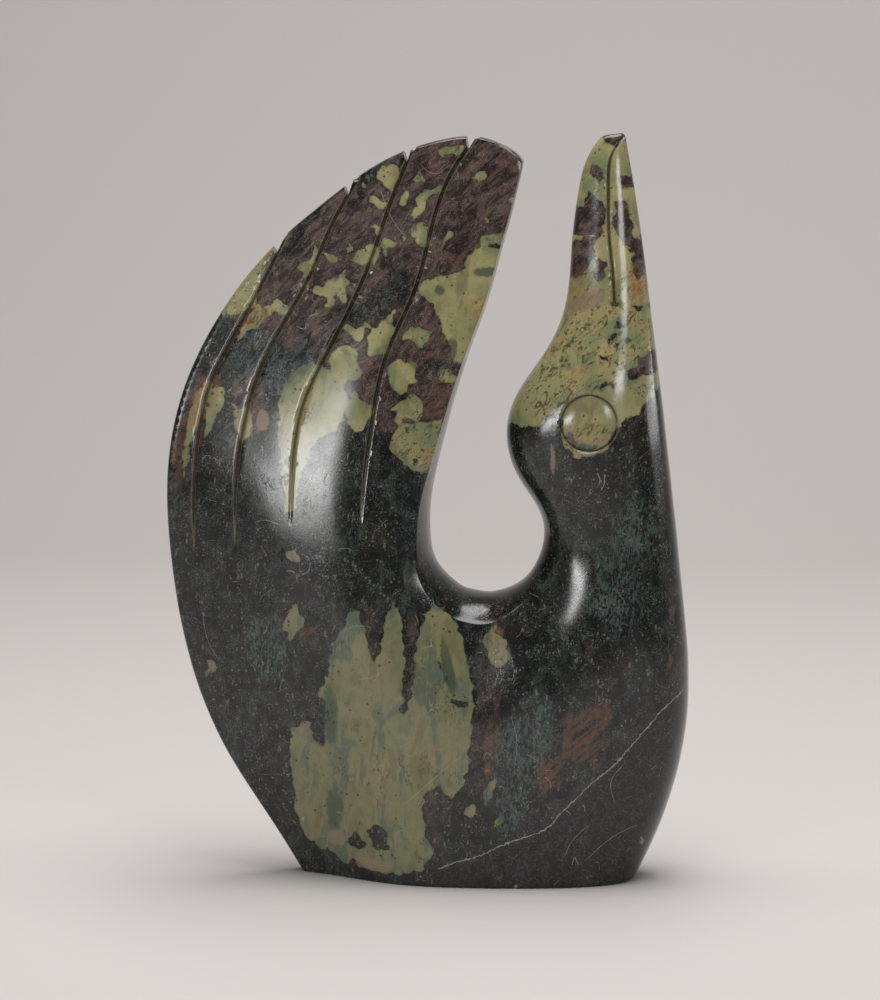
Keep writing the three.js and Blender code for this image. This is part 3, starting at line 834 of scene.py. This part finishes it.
STAINS = {
    "plum": PLUM_SPOTS, "rust": RUST_SPOTS, "tan": TAN_SPOTS, "teal": TEAL_SPOTS,
    "busy": BUSY_SPOTS, "islets": ISLET_SPOTS,
}
STAIN_SOFTNESS = 0.35                  # of a stain's edge, as a part of its smaller size
SHEAR = (1.5, -1.1)                    # how far the pattern moves right and up per mm back
WANDER_LONG, WANDER_SHORT = 1.7, 1.2   # heights of the waves that move the outlines
PATTERN_REACH = 12.0                   # depths and distances in the pattern stop here, in mm


def sheared(points):
    """Where the pattern is read: the front as it is, and behind the middle plane further
    to the right and lower, because the stone's beds run slantwise through it."""
    return points[:, [0, 2]] + np.maximum(points[:, 1:2], 0) * SHEAR


def wandered(places):
    """Places moved by a few millimetres along crossing waves, so that no drawn outline
    comes out smooth or round."""
    x, z = places.T
    right = WANDER_LONG * np.sin(z / 4.3 + 2.0 * np.sin(x / 13.1) + 0.7)
    right += WANDER_SHORT * np.sin(z / 2.3 - x / 3.9 + 2.1)
    up = WANDER_LONG * np.sin(x / 3.7 + 2.0 * np.sin(z / 11.9 + 1.3))
    up += WANDER_SHORT * np.sin(x / 2.1 + z / 4.7 + 0.4)
    return np.column_stack((x + right, z + up))


def spots_field(places, spots):
    """How deep each place lies in the deepest of the spots, in mm, negative outside."""
    depth = np.full(len(places), -FAR)
    for spot in spots:
        depth = np.maximum(depth, ellipse_field(places, *spot))
    return depth


def stain(places, spots):
    """A soft stain, 0 to 1: full in the middle of each spot and gone a little outside."""
    amount = np.zeros(len(places))
    for x, z, width, height, turn in spots:
        reach = STAIN_SOFTNESS * min(width, height)
        depth = ellipse_field(places, x, z, width, height, turn)
        amount = np.maximum(amount, ramp(depth, -reach, reach))
    return amount


def olive_field(places):
    """How deep each place lies in an olive patch, in mm, negative outside."""
    moved = wandered(places)
    depth = spots_field(moved, OLIVE_SPOTS)
    for corners in OLIVE_OUTLINES:
        depth = np.maximum(depth, polygon_field(places, corners))
    darks = spots_field(moved, DARK_SPOTS)
    for corners in BEAK_DARKS:
        darks = np.maximum(darks, polygon_field(places, corners))
    return np.clip(np.minimum(depth, -darks), -PATTERN_REACH, PATTERN_REACH)


def line_field(places, lines):
    """Distance across the nearest line, with its sign, and how present the line is: 1
    along it and 0 past its ends."""
    best = np.full(len(places), PATTERN_REACH)
    present = np.zeros(len(places))
    for points in lines:
        across, along, length, _ = path_field(places, points, samples=40)
        here = ramp(along, -2, 1.5) * ramp(-along, -length - 2, -length + 1.5)
        nearer = (np.abs(across) < np.abs(best)) & (here > 0)
        best = np.where(nearer, across, best)
        present = np.where(nearer, here, present)
    return best, present


def paint_fields(mesh, sizes):
    """Writes the stone's pattern onto the mesh, one number for each point and field."""
    points = np.empty(3 * len(mesh.vertices), np.float32)
    mesh.vertices.foreach_get("co", points)
    points = points.reshape(-1, 3).astype(float) / MM
    places = sheared(points)
    vein, vein_here = line_field(places, (MAIN_VEIN,))
    scratch, scratch_here = line_field(places, SIDE_VEINS)
    across, along, _, _ = path_field(places, MAIN_VEIN, reach=400.0)
    fields = {
        "olive": olive_field(places),
        **{name: stain(places, spots) for name, spots in STAINS.items()},
        "below_vein": ramp(-across, -4, 4) * ramp(along, -20, 5),
        "vein": vein,
        "vein_here": vein_here,
        "scratch": scratch,
        "scratch_here": scratch_here,
        "carved": ramp(carved_depth(points[:, [0, 2]], sizes), 0, 2.0),
    }
    for name, values in fields.items():
        attribute = mesh.attributes.new(name, "FLOAT", "POINT")
        attribute.data.foreach_set("value", values.astype(np.float32))


# ---------------------------------------------------------------- node helpers

COLOUR_A, COLOUR_B, COLOUR_RESULT = 6, 7, 2       # sockets of a Mix node set to colours
NUMBER_A, NUMBER_B, NUMBER_RESULT = 2, 3, 0       # and of one set to numbers


class Wire:
    """One value in a node tree.  Arithmetic on wires, and the methods below, add the
    nodes that work it out and give their result as another wire."""

    def __init__(self, tree, socket):
        self.tree, self.socket = tree, socket

    def math(self, operation, a, b=0.0):
        return wire(self.tree, "ShaderNodeMath", 0, {0: a, 1: b}, operation=operation)

    def __add__(self, other):
        return self.math("ADD", self, other)

    def __sub__(self, other):
        return self.math("SUBTRACT", self, other)

    def __rsub__(self, other):
        return self.math("SUBTRACT", other, self)

    def __mul__(self, other):
        return self.math("MULTIPLY", self, other)

    def __abs__(self):
        return self.math("ABSOLUTE", self)

    def larger(self, other):
        return self.math("MAXIMUM", self, other)

    def below(self, other):
        return self.math("LESS_THAN", self, other)

    def step(self, low, high):
        """0 below low and 1 above high, with a smooth step between."""
        inputs = {"Value": self, "From Min": low, "From Max": high}
        return wire(self.tree, "ShaderNodeMapRange", 0, inputs, interpolation_type="SMOOTHSTEP")

    def noise(self, scale, detail=3.0, roughness=0.55, distortion=0.0):
        """Cloudy noise at this place, about 0.5 on the whole."""
        inputs = {"Vector": self, "Scale": scale, "Detail": detail}
        inputs.update({"Roughness": roughness, "Distortion": distortion})
        return wire(self.tree, "ShaderNodeTexNoise", "Fac", inputs)


def add_node(tree, kind, inputs=(), **settings):
    """A node of that kind, with settings set and inputs given by name or number, each a
    wire to link or a value to set."""
    node = tree.nodes.new(kind)
    for name, value in settings.items():
        setattr(node, name, value)
    for name, value in dict(inputs).items():
        if isinstance(value, Wire):
            tree.links.new(value.socket, node.inputs[name])
        else:
            node.inputs[name].default_value = value
    return node


def wire(tree, kind, output, inputs=(), **settings):
    """The named or numbered output of a new node."""
    return Wire(tree, add_node(tree, kind, inputs, **settings).outputs[output])


def mixed(mask, a, b):
    """Colour a where the mask is 0 and colour b where it is 1."""
    a, b = (colour if isinstance(colour, Wire) else (*colour, 1.0) for colour in (a, b))
    inputs = {0: mask, COLOUR_A: a, COLOUR_B: b}
    return wire(mask.tree, "ShaderNodeMix", COLOUR_RESULT, inputs, data_type="RGBA")


def painted(colour, *layers):
    """A colour under layers, each a mask and the colour that shows where the mask is 1."""
    for mask, layer in layers:
        colour = mixed(mask, colour, layer)
    return colour


def new_group(name, **defaults):
    """The inputs, as wires, of a new node group that takes a place and these numbers."""
    tree = bpy.data.node_groups.new(name, "ShaderNodeTree")
    tree.interface.new_socket("Place", in_out="INPUT", socket_type="NodeSocketVector")
    for label, value in defaults.items():
        socket = tree.interface.new_socket(label, in_out="INPUT", socket_type="NodeSocketFloat")
        socket.default_value = value
    tree.interface.new_socket("Mask", in_out="OUTPUT", socket_type="NodeSocketFloat")
    start = tree.nodes.new("NodeGroupInput")
    labels = ("Place", *defaults)
    return SimpleNamespace(**{label.lower(): Wire(tree, start.outputs[label]) for label in labels})


def group_of(mask):
    """The node group that the mask was worked out in, with the mask as its output."""
    end = mask.tree.nodes.new("NodeGroupOutput")
    mask.tree.links.new(mask.socket, end.inputs["Mask"])
    return mask.tree


def mask_from(group, place, **inputs):
    """The mask that a node group gives at this place."""
    inputs["Place"] = place
    return wire(place.tree, "ShaderNodeGroup", "Mask", inputs, node_tree=group)


# ---------------------------------------------------------------- the stone's material


def broken_edge_group():
    """A mask from a field in mm, its edge lobed by coarse noise and roughened by fine."""
    given = new_group("Broken edge", Field=0.0, Coarse=1.6, Fine=0.5, Softness=0.25)
    push = (given.place.noise(0.14, 1.2, 0.5, 0.3) - 0.5) * given.coarse * 4.0
    nudge = (given.place.noise(0.8, 1.0, 0.6) - 0.5) * given.fine * 4.0
    moved = given.field + push + nudge
    return group_of(moved.step(given.softness * -1.0, given.softness))


def flecks_group():
    """Small specks: Voronoi cells of different sizes, a share of them kept."""
    given = new_group("Flecks", Scale=0.5, Size=0.25, Share=0.5)
    tree = given.place.tree
    inputs = {0: given.place, 1: given.place.noise(1.3, 2.0)}
    shaken = wire(tree, "ShaderNodeVectorMath", 0, inputs, operation="ADD")
    inputs = {"Vector": shaken, "Scale": given.scale, "Randomness": 1.0}
    cells = add_node(tree, "ShaderNodeTexVoronoi", inputs).outputs
    draws = add_node(tree, "ShaderNodeSeparateColor", {"Color": Wire(tree, cells["Color"])}).outputs
    size = given.size * (Wire(tree, draws[0]) + 0.25)
    speck = (size - Wire(tree, cells["Distance"])).step(0.0, 0.07)
    return group_of(speck * Wire(tree, draws[1]).below(given.share))


def line_group():
    """A thin line of uneven width where a signed distance passes through zero."""
    given = new_group("Thin line", Distance=0.0, Here=0.0, Width=0.5, Shake=2.0)
    shaken = given.distance + (given.place.noise(0.35, 4.0, 0.7) - 0.5) * given.shake
    width = given.width * (given.place.noise(0.12, 2.0) * 2.0)
    return group_of((width - abs(shaken)).step(-0.25, 0.25) * given.here)


def shared_patterns(tree):
    """The coordinates, in mm, and the noises that the stone's layers share.  The grain
    stands upright low on the stone and leans to the right high on it."""
    place = wire(tree, "ShaderNodeTexCoord", "Object")
    mm = wire(tree, "ShaderNodeVectorMath", 0, {0: place, "Scale": 1 / MM}, operation="SCALE")
    high = wire(tree, "ShaderNodeSeparateXYZ", 2, {0: mm}).step(210.0, 350.0)

    def leaning(degrees, stretch):
        turn = (0, math.radians(degrees), 0)
        inputs = {"Vector": mm, "Rotation": turn, "Scale": (1, 1.5, stretch)}
        return wire(tree, "ShaderNodeMapping", 0, inputs, vector_type="TEXTURE")

    upright, slanting = leaning(4, 2.6), leaning(42, 2.2)

    def along_grain(*settings):
        inputs = {0: high, NUMBER_A: upright.noise(*settings), NUMBER_B: slanting.noise(*settings)}
        return wire(tree, "ShaderNodeMix", NUMBER_RESULT, inputs, data_type="FLOAT")

    return SimpleNamespace(
        mm=mm,
        high=high,
        upright=upright,
        slanting=slanting,
        fibres=leaning(50, 4.5).noise(0.33, 2.5, 0.6, 0.8),
        bands=upright.noise(0.075, 3.0, 0.6, 0.6),
        cloud=mm.noise(0.045, 3.0, 0.6, 0.4),
        wisps=along_grain(0.16, 3.0, 0.62, 0.9),
        strands=along_grain(0.45, 1.5, 0.6, 1.2),
        speckle=mm.noise(0.9, 1.0, 0.6, 0.3),
    )


def field(at, name):
    """One of the numbers that paint_fields writes onto the mesh."""
    settings = {"attribute_name": name, "attribute_type": "GEOMETRY"}
    return wire(at.mm.tree, "ShaderNodeAttribute", "Fac", **settings)


def stained(at, name, low, high, shake=0.9):
    """A painted stain, shaken by cloudy and wispy noise and stepped."""
    return (field(at, name) + (at.cloud + at.wisps - 1.0) * shake).step(low, high)


def ridge(noise, width):
    """Thin winding lines where a noise passes through its middle."""
    return abs(noise - 0.5).step(width, 0.0)


def dark_ground(at, flecks, colours):
    """Green-black ground: slate wisps, teal mottling, brown shadows, pale grit, long
    flecks and tangled hairlines."""
    wisps, strands, cloud = at.wisps, at.strands, at.cloud
    patchy = at.mm.noise(0.11, 1.0)
    tangle = ridge(at.mm.noise(0.42, 2.0, 0.6, 1.2), 0.025)
    small = mask_from(flecks, at.mm, Scale=0.42, Size=0.34, Share=0.35)
    long = mask_from(flecks, at.upright, Scale=0.4, Size=0.3, Share=0.28)
    return painted(
        mixed(wisps.step(0.42, 0.64), colours.black, colours.slate),
        (at.bands.step(0.5, 0.64) * strands.step(0.35, 0.6) * 0.8, colours.moss),
        (cloud.step(0.46, 0.6) * strands.step(0.42, 0.58) * 0.85, colours.umber),
        (stained(at, "teal", 0.4, 0.9, 1.2) * strands.step(0.42, 0.62), colours.teal),
        (at.speckle.step(0.54, 0.72) * patchy.step(0.25, 0.6) * 0.75, colours.grit),
        (tangle * patchy.step(0.46, 0.6) * 0.4, colours.fleck),
        (small.larger(long) * cloud.step(0.36, 0.56) * 0.45, colours.fleck),
    )


def plum_ground(at, colours):
    """Plum ground: dark and light wisps, reddish fibres, dark streaks, pale threads."""
    wisps, fibres = at.wisps, at.fibres
    shadows = at.slanting.noise(0.085, 2.0, 0.6, 1.0)
    threads = ridge(at.slanting.noise(0.4, 1.5, 0.6, 2.0), 0.028)
    return painted(
        mixed(wisps.step(0.38, 0.6), colours.plum_dark, colours.plum),
        (fibres.step(0.5, 0.66) * 0.65, colours.plum_red),
        (fibres.step(0.46, 0.34) * 0.7, colours.plum_dark),
        (shadows.step(0.52, 0.36) * 0.7, colours.plum_dark),
        (threads * wisps.step(0.44, 0.6) * 0.7, colours.plum_pale),
        (at.speckle.step(0.6, 0.74) * 0.45, colours.fleck),
    )


def olive_stone(at, flecks, depth, colours):
    """Olive stone: green at its edge and yellower within, greyer low on the stone, with
    tan clouds, dark specks, cracks and, where the stone is busy, dark strokes."""
    strands, cloud, bands = at.strands, at.cloud, at.bands
    low = 1.0 - at.high
    inward = depth + (cloud - 0.5) * 30.0
    inputs = {"Vector": at.upright, "Scale": 0.06}
    cells = wire(depth.tree, "ShaderNodeTexVoronoi", "Distance", inputs, feature="DISTANCE_TO_EDGE")
    crack = abs(cells + (strands - 0.5) * 0.6).step(0.04, 0.0)
    crack = crack * at.mm.noise(0.05, 1.0).step(0.5, 0.6) * 0.7
    dots = mask_from(flecks, at.mm, Scale=0.26, Size=0.24, Share=0.35) * 0.8
    busy = stained(at, "busy", 0.3, 0.7, 0.5)
    strokes = at.slanting.noise(0.25, 3.0, 0.68, 1.4).step(0.52, 0.62) * busy * 0.8
    warm = busy * cloud.step(0.48, 0.6) * strands.step(0.56, 0.42) * 0.55
    stone = painted(
        mixed(inward.step(-1.0, 7.0), colours.olive_green, colours.olive),
        (cloud.step(0.46, 0.62), colours.olive_yellow),
        (low * 0.75, colours.olive_low),
        (low * bands.step(0.47, 0.62) * 0.85, colours.olive_grey),
        (strands.step(0.52, 0.7) * 0.35, colours.olive_tan),
        (stained(at, "teal", 0.45, 0.85, 0.7) * 0.8, colours.olive_dark),
        (bands.step(0.46, 0.34) * 0.5, colours.olive_shade),
        (at.speckle.step(0.42, 0.26) * 0.5, colours.olive_shade),
        (warm, colours.orange),
        (dots.larger(crack).larger(strokes), colours.olive_mark),
    )
    return stone, crack


def stone_material(colours):
    """Waxed and polished soapstone: a green-black and plum ground with flecks, olive
    patches with broken edges, stains, one pale vein and hairline scratches."""
    material = bpy.data.materials.new("Polished soapstone")
    material.use_nodes = True
    tree = material.node_tree
    tree.nodes.clear()
    edge, flecks, line = broken_edge_group(), flecks_group(), line_group()
    at = shared_patterns(tree)
    depth, carved = field(at, "olive"), field(at, "carved")

    def broken(softness):
        return mask_from(edge, at.mm, Field=depth, Coarse=2.0, Fine=0.22, Softness=softness)

    def thin_line(name, width, shake):
        inputs = {"Distance": field(at, name), "Here": field(at, name + "_here")}
        return mask_from(line, at.mm, Width=width, Shake=shake, **inputs)

    islets = at.slanting.noise(0.17, 1.5, 0.5, 0.6).step(0.66, 0.68) * field(at, "islets")
    in_olive = broken(0.3).larger(islets)
    in_plum = stained(at, "plum", 0.25, 0.75, 1.4) * (at.high * 0.65 + 0.35)
    olive, crack = olive_stone(at, flecks, depth, colours)
    rust = stained(at, "rust", 0.3, 1.0, 1.6) * at.fibres.step(0.36, 0.6) * 0.85
    crazing = ridge(at.mm.noise(0.22, 2.0, 0.6, 1.0), 0.02)
    under_vein = mixed(at.wisps.step(0.42, 0.66), colours.black, colours.slate)
    under_vein = mixed(crazing * 0.3, under_vein, colours.plum_pale)
    hairs = ridge(at.mm.noise(0.035, 1.0, 0.5, 0.3), 0.004)
    hairs = hairs * at.mm.noise(0.09, 1.0).step(0.56, 0.64) * 0.5
    scratch = (thin_line("scratch", 0.12, 1.5) * 0.55).larger(hairs)
    stone = painted(
        dark_ground(at, flecks, colours),
        (in_plum, plum_ground(at, colours)),
        (in_olive, olive),
        (abs(broken(1.2) - in_olive) * 0.9, colours.umber),
        (rust, mixed(in_olive, colours.rust, colours.orange)),
        (stained(at, "tan", 0.35, 0.7) * 0.75, colours.tan),
        (field(at, "below_vein") * 0.7, under_vein),
        ((thin_line("vein", 0.3, 4.0) * 0.65).larger(scratch), colours.vein),
        # Paler lips and upper walls of the grooves: partly duller worn stone, partly a painted
        # highlight along the lips.
        (carved.step(0.02, 0.12) * carved.step(0.6, 0.3) * 0.4, colours.lip_sheen_and_wear),
        # Darkest at the bottoms of the grooves and the eye's ring: partly wax and dust, partly
        # painted shade in the hollows.
        (carved.step(0.45, 0.8) * 0.75, colours.dirt_and_shade),
    )

    # Polish: glossy, with duller grit and carved places; grit and hairlines in relief.
    rough = at.speckle * 0.12 + at.cloud * 0.12 + carved * 0.1 + 0.045
    pits = mask_from(flecks, at.mm, Scale=0.8, Size=0.2, Share=0.2)
    relief = at.speckle * 0.5 - pits - (scratch + crack)
    inputs = {"Height": relief, "Strength": 0.5, "Distance": 0.07 * MM}
    bump = wire(tree, "ShaderNodeBump", 0, inputs)
    inputs = {"Base Color": stone, "Roughness": rough, "Normal": bump, "IOR": 1.54}
    shader = wire(tree, "ShaderNodeBsdfPrincipled", 0, inputs)
    add_node(tree, "ShaderNodeOutputMaterial", {0: shader})
    return material


def plain_material(name, colour, roughness):
    """A matt painted surface that can be looked through from behind."""
    material = bpy.data.materials.new(name)
    material.use_nodes = True
    tree = material.node_tree
    shader = tree.nodes["Principled BSDF"]
    shader.inputs["Base Color"].default_value = (*colour, 1.0)
    shader.inputs["Roughness"].default_value = roughness
    shader.inputs["Specular IOR Level"].default_value = 0.2
    behind = wire(tree, "ShaderNodeNewGeometry", "Backfacing")
    tree.links.new((1.0 - behind).socket, shader.inputs["Alpha"])
    return material


# ---------------------------------------------------------------- settings


def length_property(name, description, millimetres):
    """A length to set in the panel, with its default in millimetres."""
    length = millimetres * MM
    return FloatProperty(name=name, description=description, default=length, unit="LENGTH")


def angle_property(name, description, degrees):
    """An angle to set in the panel, with its default in degrees."""
    angle = math.radians(degrees)
    return FloatProperty(name=name, description=description, default=angle, subtype="ANGLE")


def colour_property(name, description, default):
    """A colour to set in the panel, as linear red, green and blue."""
    return FloatVectorProperty(
        name=name, description=description, default=default, size=3, min=0, max=1, subtype="COLOR"
    )


class CarvingSizes(bpy.types.PropertyGroup):
    """Sizes of the carving that can be changed without moving the stone's outline."""

    groove_width: length_property("Groove width", "Width of a feather groove at the rim", 3.7)
    groove_depth: length_property("Groove depth", "Depth of a feather groove", 2.2)
    arris_softness: length_property("Arris softness", "How far the gap's edge is rubbed down", 1.2)
    end_rounding: length_property("End rounding", "Rounding of the beak tip and wing corner", 2.8)
    foot_rounding: length_property("Foot rounding", "Rounding of the sawn foot's edge", 1.4)
    hand_waver: length_property("Hand waver", "Height of the waves left by rubbing by hand", 0.1)
    front_edge: length_property("Front mesh edge", "Longest mesh edge on the front skin", 4.0)
    back_edge: length_property("Back mesh edge", "Longest mesh edge on the back skin", 6.5)
    cut_edge: length_property("Carved mesh edge", "Longest mesh edge along the carved lines", 1.0)


class StoneColours(bpy.types.PropertyGroup):
    """Colours of the stone."""

    black: colour_property("Black", "Darkest ground", (0.004, 0.005, 0.005))
    slate: colour_property("Slate", "Lighter wisps of the dark ground", (0.012, 0.015, 0.013))
    moss: colour_property("Moss", "Grey-green clouds of the dark ground", (0.040, 0.048, 0.040))
    umber: colour_property("Umber", "Brown shadows and outlines", (0.015, 0.010, 0.007))
    teal: colour_property("Teal", "Green-blue mottling", (0.055, 0.080, 0.074))
    grit: colour_property("Grit", "Fine grains of the dark ground", (0.088, 0.100, 0.090))
    fleck: colour_property("Fleck", "Pale specks in the ground", (0.21, 0.22, 0.185))
    plum_dark: colour_property("Dark plum", "Darkest plum ground", (0.026, 0.017, 0.016))
    plum: colour_property("Plum", "Plum ground", (0.082, 0.053, 0.047))
    plum_red: colour_property("Red plum", "Reddish strands in the plum", (0.140, 0.080, 0.060))
    plum_pale: colour_property("Pale plum", "Pale threads in the plum", (0.30, 0.235, 0.195))
    olive: colour_property("Olive", "Olive patches", (0.270, 0.262, 0.120))
    olive_yellow: colour_property("Yellow olive", "Yellow clouds in olive", (0.345, 0.312, 0.145))
    olive_green: colour_property("Green olive", "Greener rim of the olive", (0.195, 0.222, 0.110))
    olive_low: colour_property("Low olive", "Duller olive low on the stone", (0.160, 0.158, 0.084))
    olive_grey: colour_property("Grey olive", "Grey-green bands low down", (0.088, 0.118, 0.086))
    olive_tan: colour_property("Tan olive", "Tan strands in the olive", (0.28, 0.215, 0.110))
    olive_dark: colour_property("Dark green", "Dark green spots in olive", (0.040, 0.070, 0.045))
    olive_shade: colour_property("Shaded olive", "Darker clouds in olive", (0.115, 0.108, 0.048))
    olive_mark: colour_property("Olive mark", "Specks and cracks in olive", (0.03, 0.025, 0.014))
    orange: colour_property("Orange", "Stains in the olive", (0.30, 0.155, 0.055))
    rust: colour_property("Rust", "Stains in the dark ground", (0.115, 0.055, 0.030))
    tan: colour_property("Tan", "Tan stains", (0.24, 0.175, 0.115))
    vein: colour_property("Vein", "The pale vein and scratches", (0.42, 0.40, 0.32))
    # Pale tint of the grooves' lips and upper walls: worn stone, and in part a painted highlight on
    # the lips.
    lip_sheen_and_wear: colour_property("Worn stone", "Dull stone of the grooves' walls", (0.20, 0.175, 0.115))
    # Dark fill of the grooves' bottoms: wax and dust, and in part painted shade in the hollows.
    dirt_and_shade: colour_property("Dirt", "Wax and dust in the grooves", (0.024, 0.017, 0.010))


class StageSettings(bpy.types.PropertyGroup):
    """The studio: camera and light."""

    azimuth: angle_property("Azimuth", "Camera's turn round the carving", 5)
    elevation: angle_property("Elevation", "Camera's height angle", 8.5)
    distance: length_property("Distance", "Camera's distance", 3000)
    lens: FloatProperty(name="Lens", description="Focal length, in mm, on 36 mm", default=161.75)
    light: FloatProperty(name="Light", description="Strength of all the lamps", default=1.0)
    floor: colour_property("Floor", "Colour of the floor and backdrop", (0.63, 0.597, 0.577))


# ---------------------------------------------------------------- operators

NICK_REACH = 20.0                      # how far a rim nick runs to either side
SHARP_ANGLE = math.radians(42)         # edges turned more than this are shaded crisp

SWEEP_FRONT, SWEEP_BACK, SWEEP_RADIUS = -3500.0, 1300.0, 900.0
SWEEP_HALF_WIDTH, SWEEP_TOP = 4000.0, 5000.0
CAMERA_TARGET = Vector((8.42 * MM, 0, 254.22 * MM))
SENSOR_WIDTH = 36
WORLD_COLOUR = (0.5, 0.49, 0.48, 1)
WORLD_STRENGTH = 0.22

# Softboxes: name, place, what it looks at, width, height, watts and roll in degrees.
WING_MIDDLE = (-0.08, 0, 0.3)
SOFTBOXES = (
    ("left box, low", (-1.065, -1.853, 0.388), WING_MIDDLE, 0.93, 0.17, 6, 12),
    ("left box, high", (-0.905, -1.92, 0.545), WING_MIDDLE, 0.86, 0.17, 5.6, 12),
    ("right box", (1.16, -1.79, 0.8), (0.125, 0, 0.43), 0.5, 0.34, 5.5, 0),
    ("rim box", (2.08, 0.52, 0.35), (0.15, 0, 0.33), 1.4, 0.1, 3.5, 0),
    ("top box", (0.1, 0.1, 2.2), (0, 0, 0.27), 1.8, 1.6, 54, 0),
)


class CARVING_OT_bird(bpy.types.Operator):
    """Builds the carved and polished stone"""

    bl_idname = "carving.bird"
    bl_label = "Build the bird"

    def execute(self, context):
        sizes = context.scene.carving_sizes
        stone = placed("carving", carved_skin(sizes))
        below_ground = ((-HEIGHT, -HEIGHT), (HEIGHT, -HEIGHT), (HEIGHT, 0.0), (-HEIGHT, 0.0))
        outlines = [nick_outline(*nick) for nick in RIM_NICKS] + [below_ground]
        cut_away(stone, blocks(outlines, [NICK_REACH] * len(RIM_NICKS) + [HEIGHT]))
        paint_fields(stone.data, sizes)
        stone.data.shade_smooth()
        stone.data.set_sharp_from_angle(angle=SHARP_ANGLE)
        stone.data.materials.clear()
        stone.data.materials.append(stone_material(context.scene.stone_colours))
        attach(stone, "root")
        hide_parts("bird")
        return {"FINISHED"}


def add_softbox(name, place, target, width, height, watts, roll):
    """A rectangular studio light that looks at the target, turned by roll degrees."""
    light = bpy.data.lights.new(name, "AREA")
    light.shape = "RECTANGLE"
    light.size, light.size_y = width, height
    light.energy = watts
    lamp = placed(name, light)
    lamp.location = place
    way = Vector(target) - Vector(place)
    turn = Quaternion((0, 0, 1), math.radians(roll))
    lamp.rotation_euler = (way.to_track_quat("-Z", "Y") @ turn).to_euler()


class CARVING_OT_stage(bpy.types.Operator):
    """Builds the floor, the backdrop, the lamps and the camera"""

    bl_idname = "carving.stage"
    bl_label = "Build the studio"

    def execute(self, context):
        stage = context.scene.stage_settings
        # The floor runs back and up along a quarter circle into the backdrop.
        angle = np.linspace(0, math.pi / 2, 24)
        run = SWEEP_BACK + SWEEP_RADIUS * np.sin(angle)
        run = np.concatenate(([SWEEP_FRONT], run, [SWEEP_BACK + SWEEP_RADIUS]))
        rise = np.concatenate(([0.0], SWEEP_RADIUS * (1 - np.cos(angle)), [SWEEP_TOP]))
        across = np.tile((-SWEEP_HALF_WIDTH, SWEEP_HALF_WIDTH), len(run))
        points = stack(across, np.repeat(run, 2), np.repeat(rise, 2))
        first = 2 * np.arange(len(run) - 1)
        faces = stack(first, first + 1, first + 3, first + 2)
        sweep = placed("sweep", mesh_from("sweep", points, faces))
        sweep.data.shade_smooth()
        sweep.data.materials.append(plain_material("Pale paper", stage.floor, 0.8))
        for name, place, target, width, height, watts, roll in SOFTBOXES:
            add_softbox(name, place, target, width, height, watts * stage.light, roll)
        world = bpy.data.worlds.new("studio")
        world.use_nodes = True
        background = world.node_tree.nodes["Background"]
        background.inputs["Color"].default_value = WORLD_COLOUR
        background.inputs["Strength"].default_value = WORLD_STRENGTH
        context.scene.world = world
        camera = placed("camera", bpy.data.cameras.new("camera"))
        camera.data.lens = stage.lens
        camera.data.sensor_width = SENSOR_WIDTH
        a, e = stage.azimuth, stage.elevation
        back_way = Vector((math.sin(a) * math.cos(e), -math.cos(a) * math.cos(e), math.sin(e)))
        camera.location = CAMERA_TARGET + back_way * stage.distance
        camera.rotation_euler = (-back_way).to_track_quat("-Z", "Y").to_euler()
        camera.data.clip_end = 100
        context.scene.camera = camera
        context.scene.view_settings.view_transform = "Standard"
        return {"FINISHED"}


class CARVING_PT_panel(bpy.types.Panel):
    """Lists the carving's settings and operators"""

    bl_label = "Soapstone bird"
    bl_idname = "CARVING_PT_panel"
    bl_space_type = "VIEW_3D"
    bl_region_type = "UI"
    bl_category = "Soapstone bird"

    def draw(self, context):
        scene = context.scene
        for title, group, operator in (
            ("Carving", scene.carving_sizes, "carving.bird"),
            ("Stone", scene.stone_colours, None),
            ("Studio", scene.stage_settings, "carving.stage"),
        ):
            box = self.layout.box()
            box.label(text=title)
            for name in group.__annotations__:
                box.prop(group, name)
            if operator:
                box.operator(operator)


CLASSES = (
    CarvingSizes, StoneColours, StageSettings, CARVING_OT_bird, CARVING_OT_stage, CARVING_PT_panel,
)


def register():
    for cls in CLASSES:
        bpy.utils.register_class(cls)
    bpy.types.Scene.carving_sizes = PointerProperty(type=CarvingSizes)
    bpy.types.Scene.stone_colours = PointerProperty(type=StoneColours)
    bpy.types.Scene.stage_settings = PointerProperty(type=StageSettings)


def unregister():
    del bpy.types.Scene.stage_settings
    del bpy.types.Scene.stone_colours
    del bpy.types.Scene.carving_sizes
    for cls in reversed(CLASSES):
        bpy.utils.unregister_class(cls)


def main():
    """Registers the add-on and builds everything."""
    register()
    bpy.ops.carving.bird()
    bpy.ops.carving.stage()


if __name__ == "__main__":
    main()
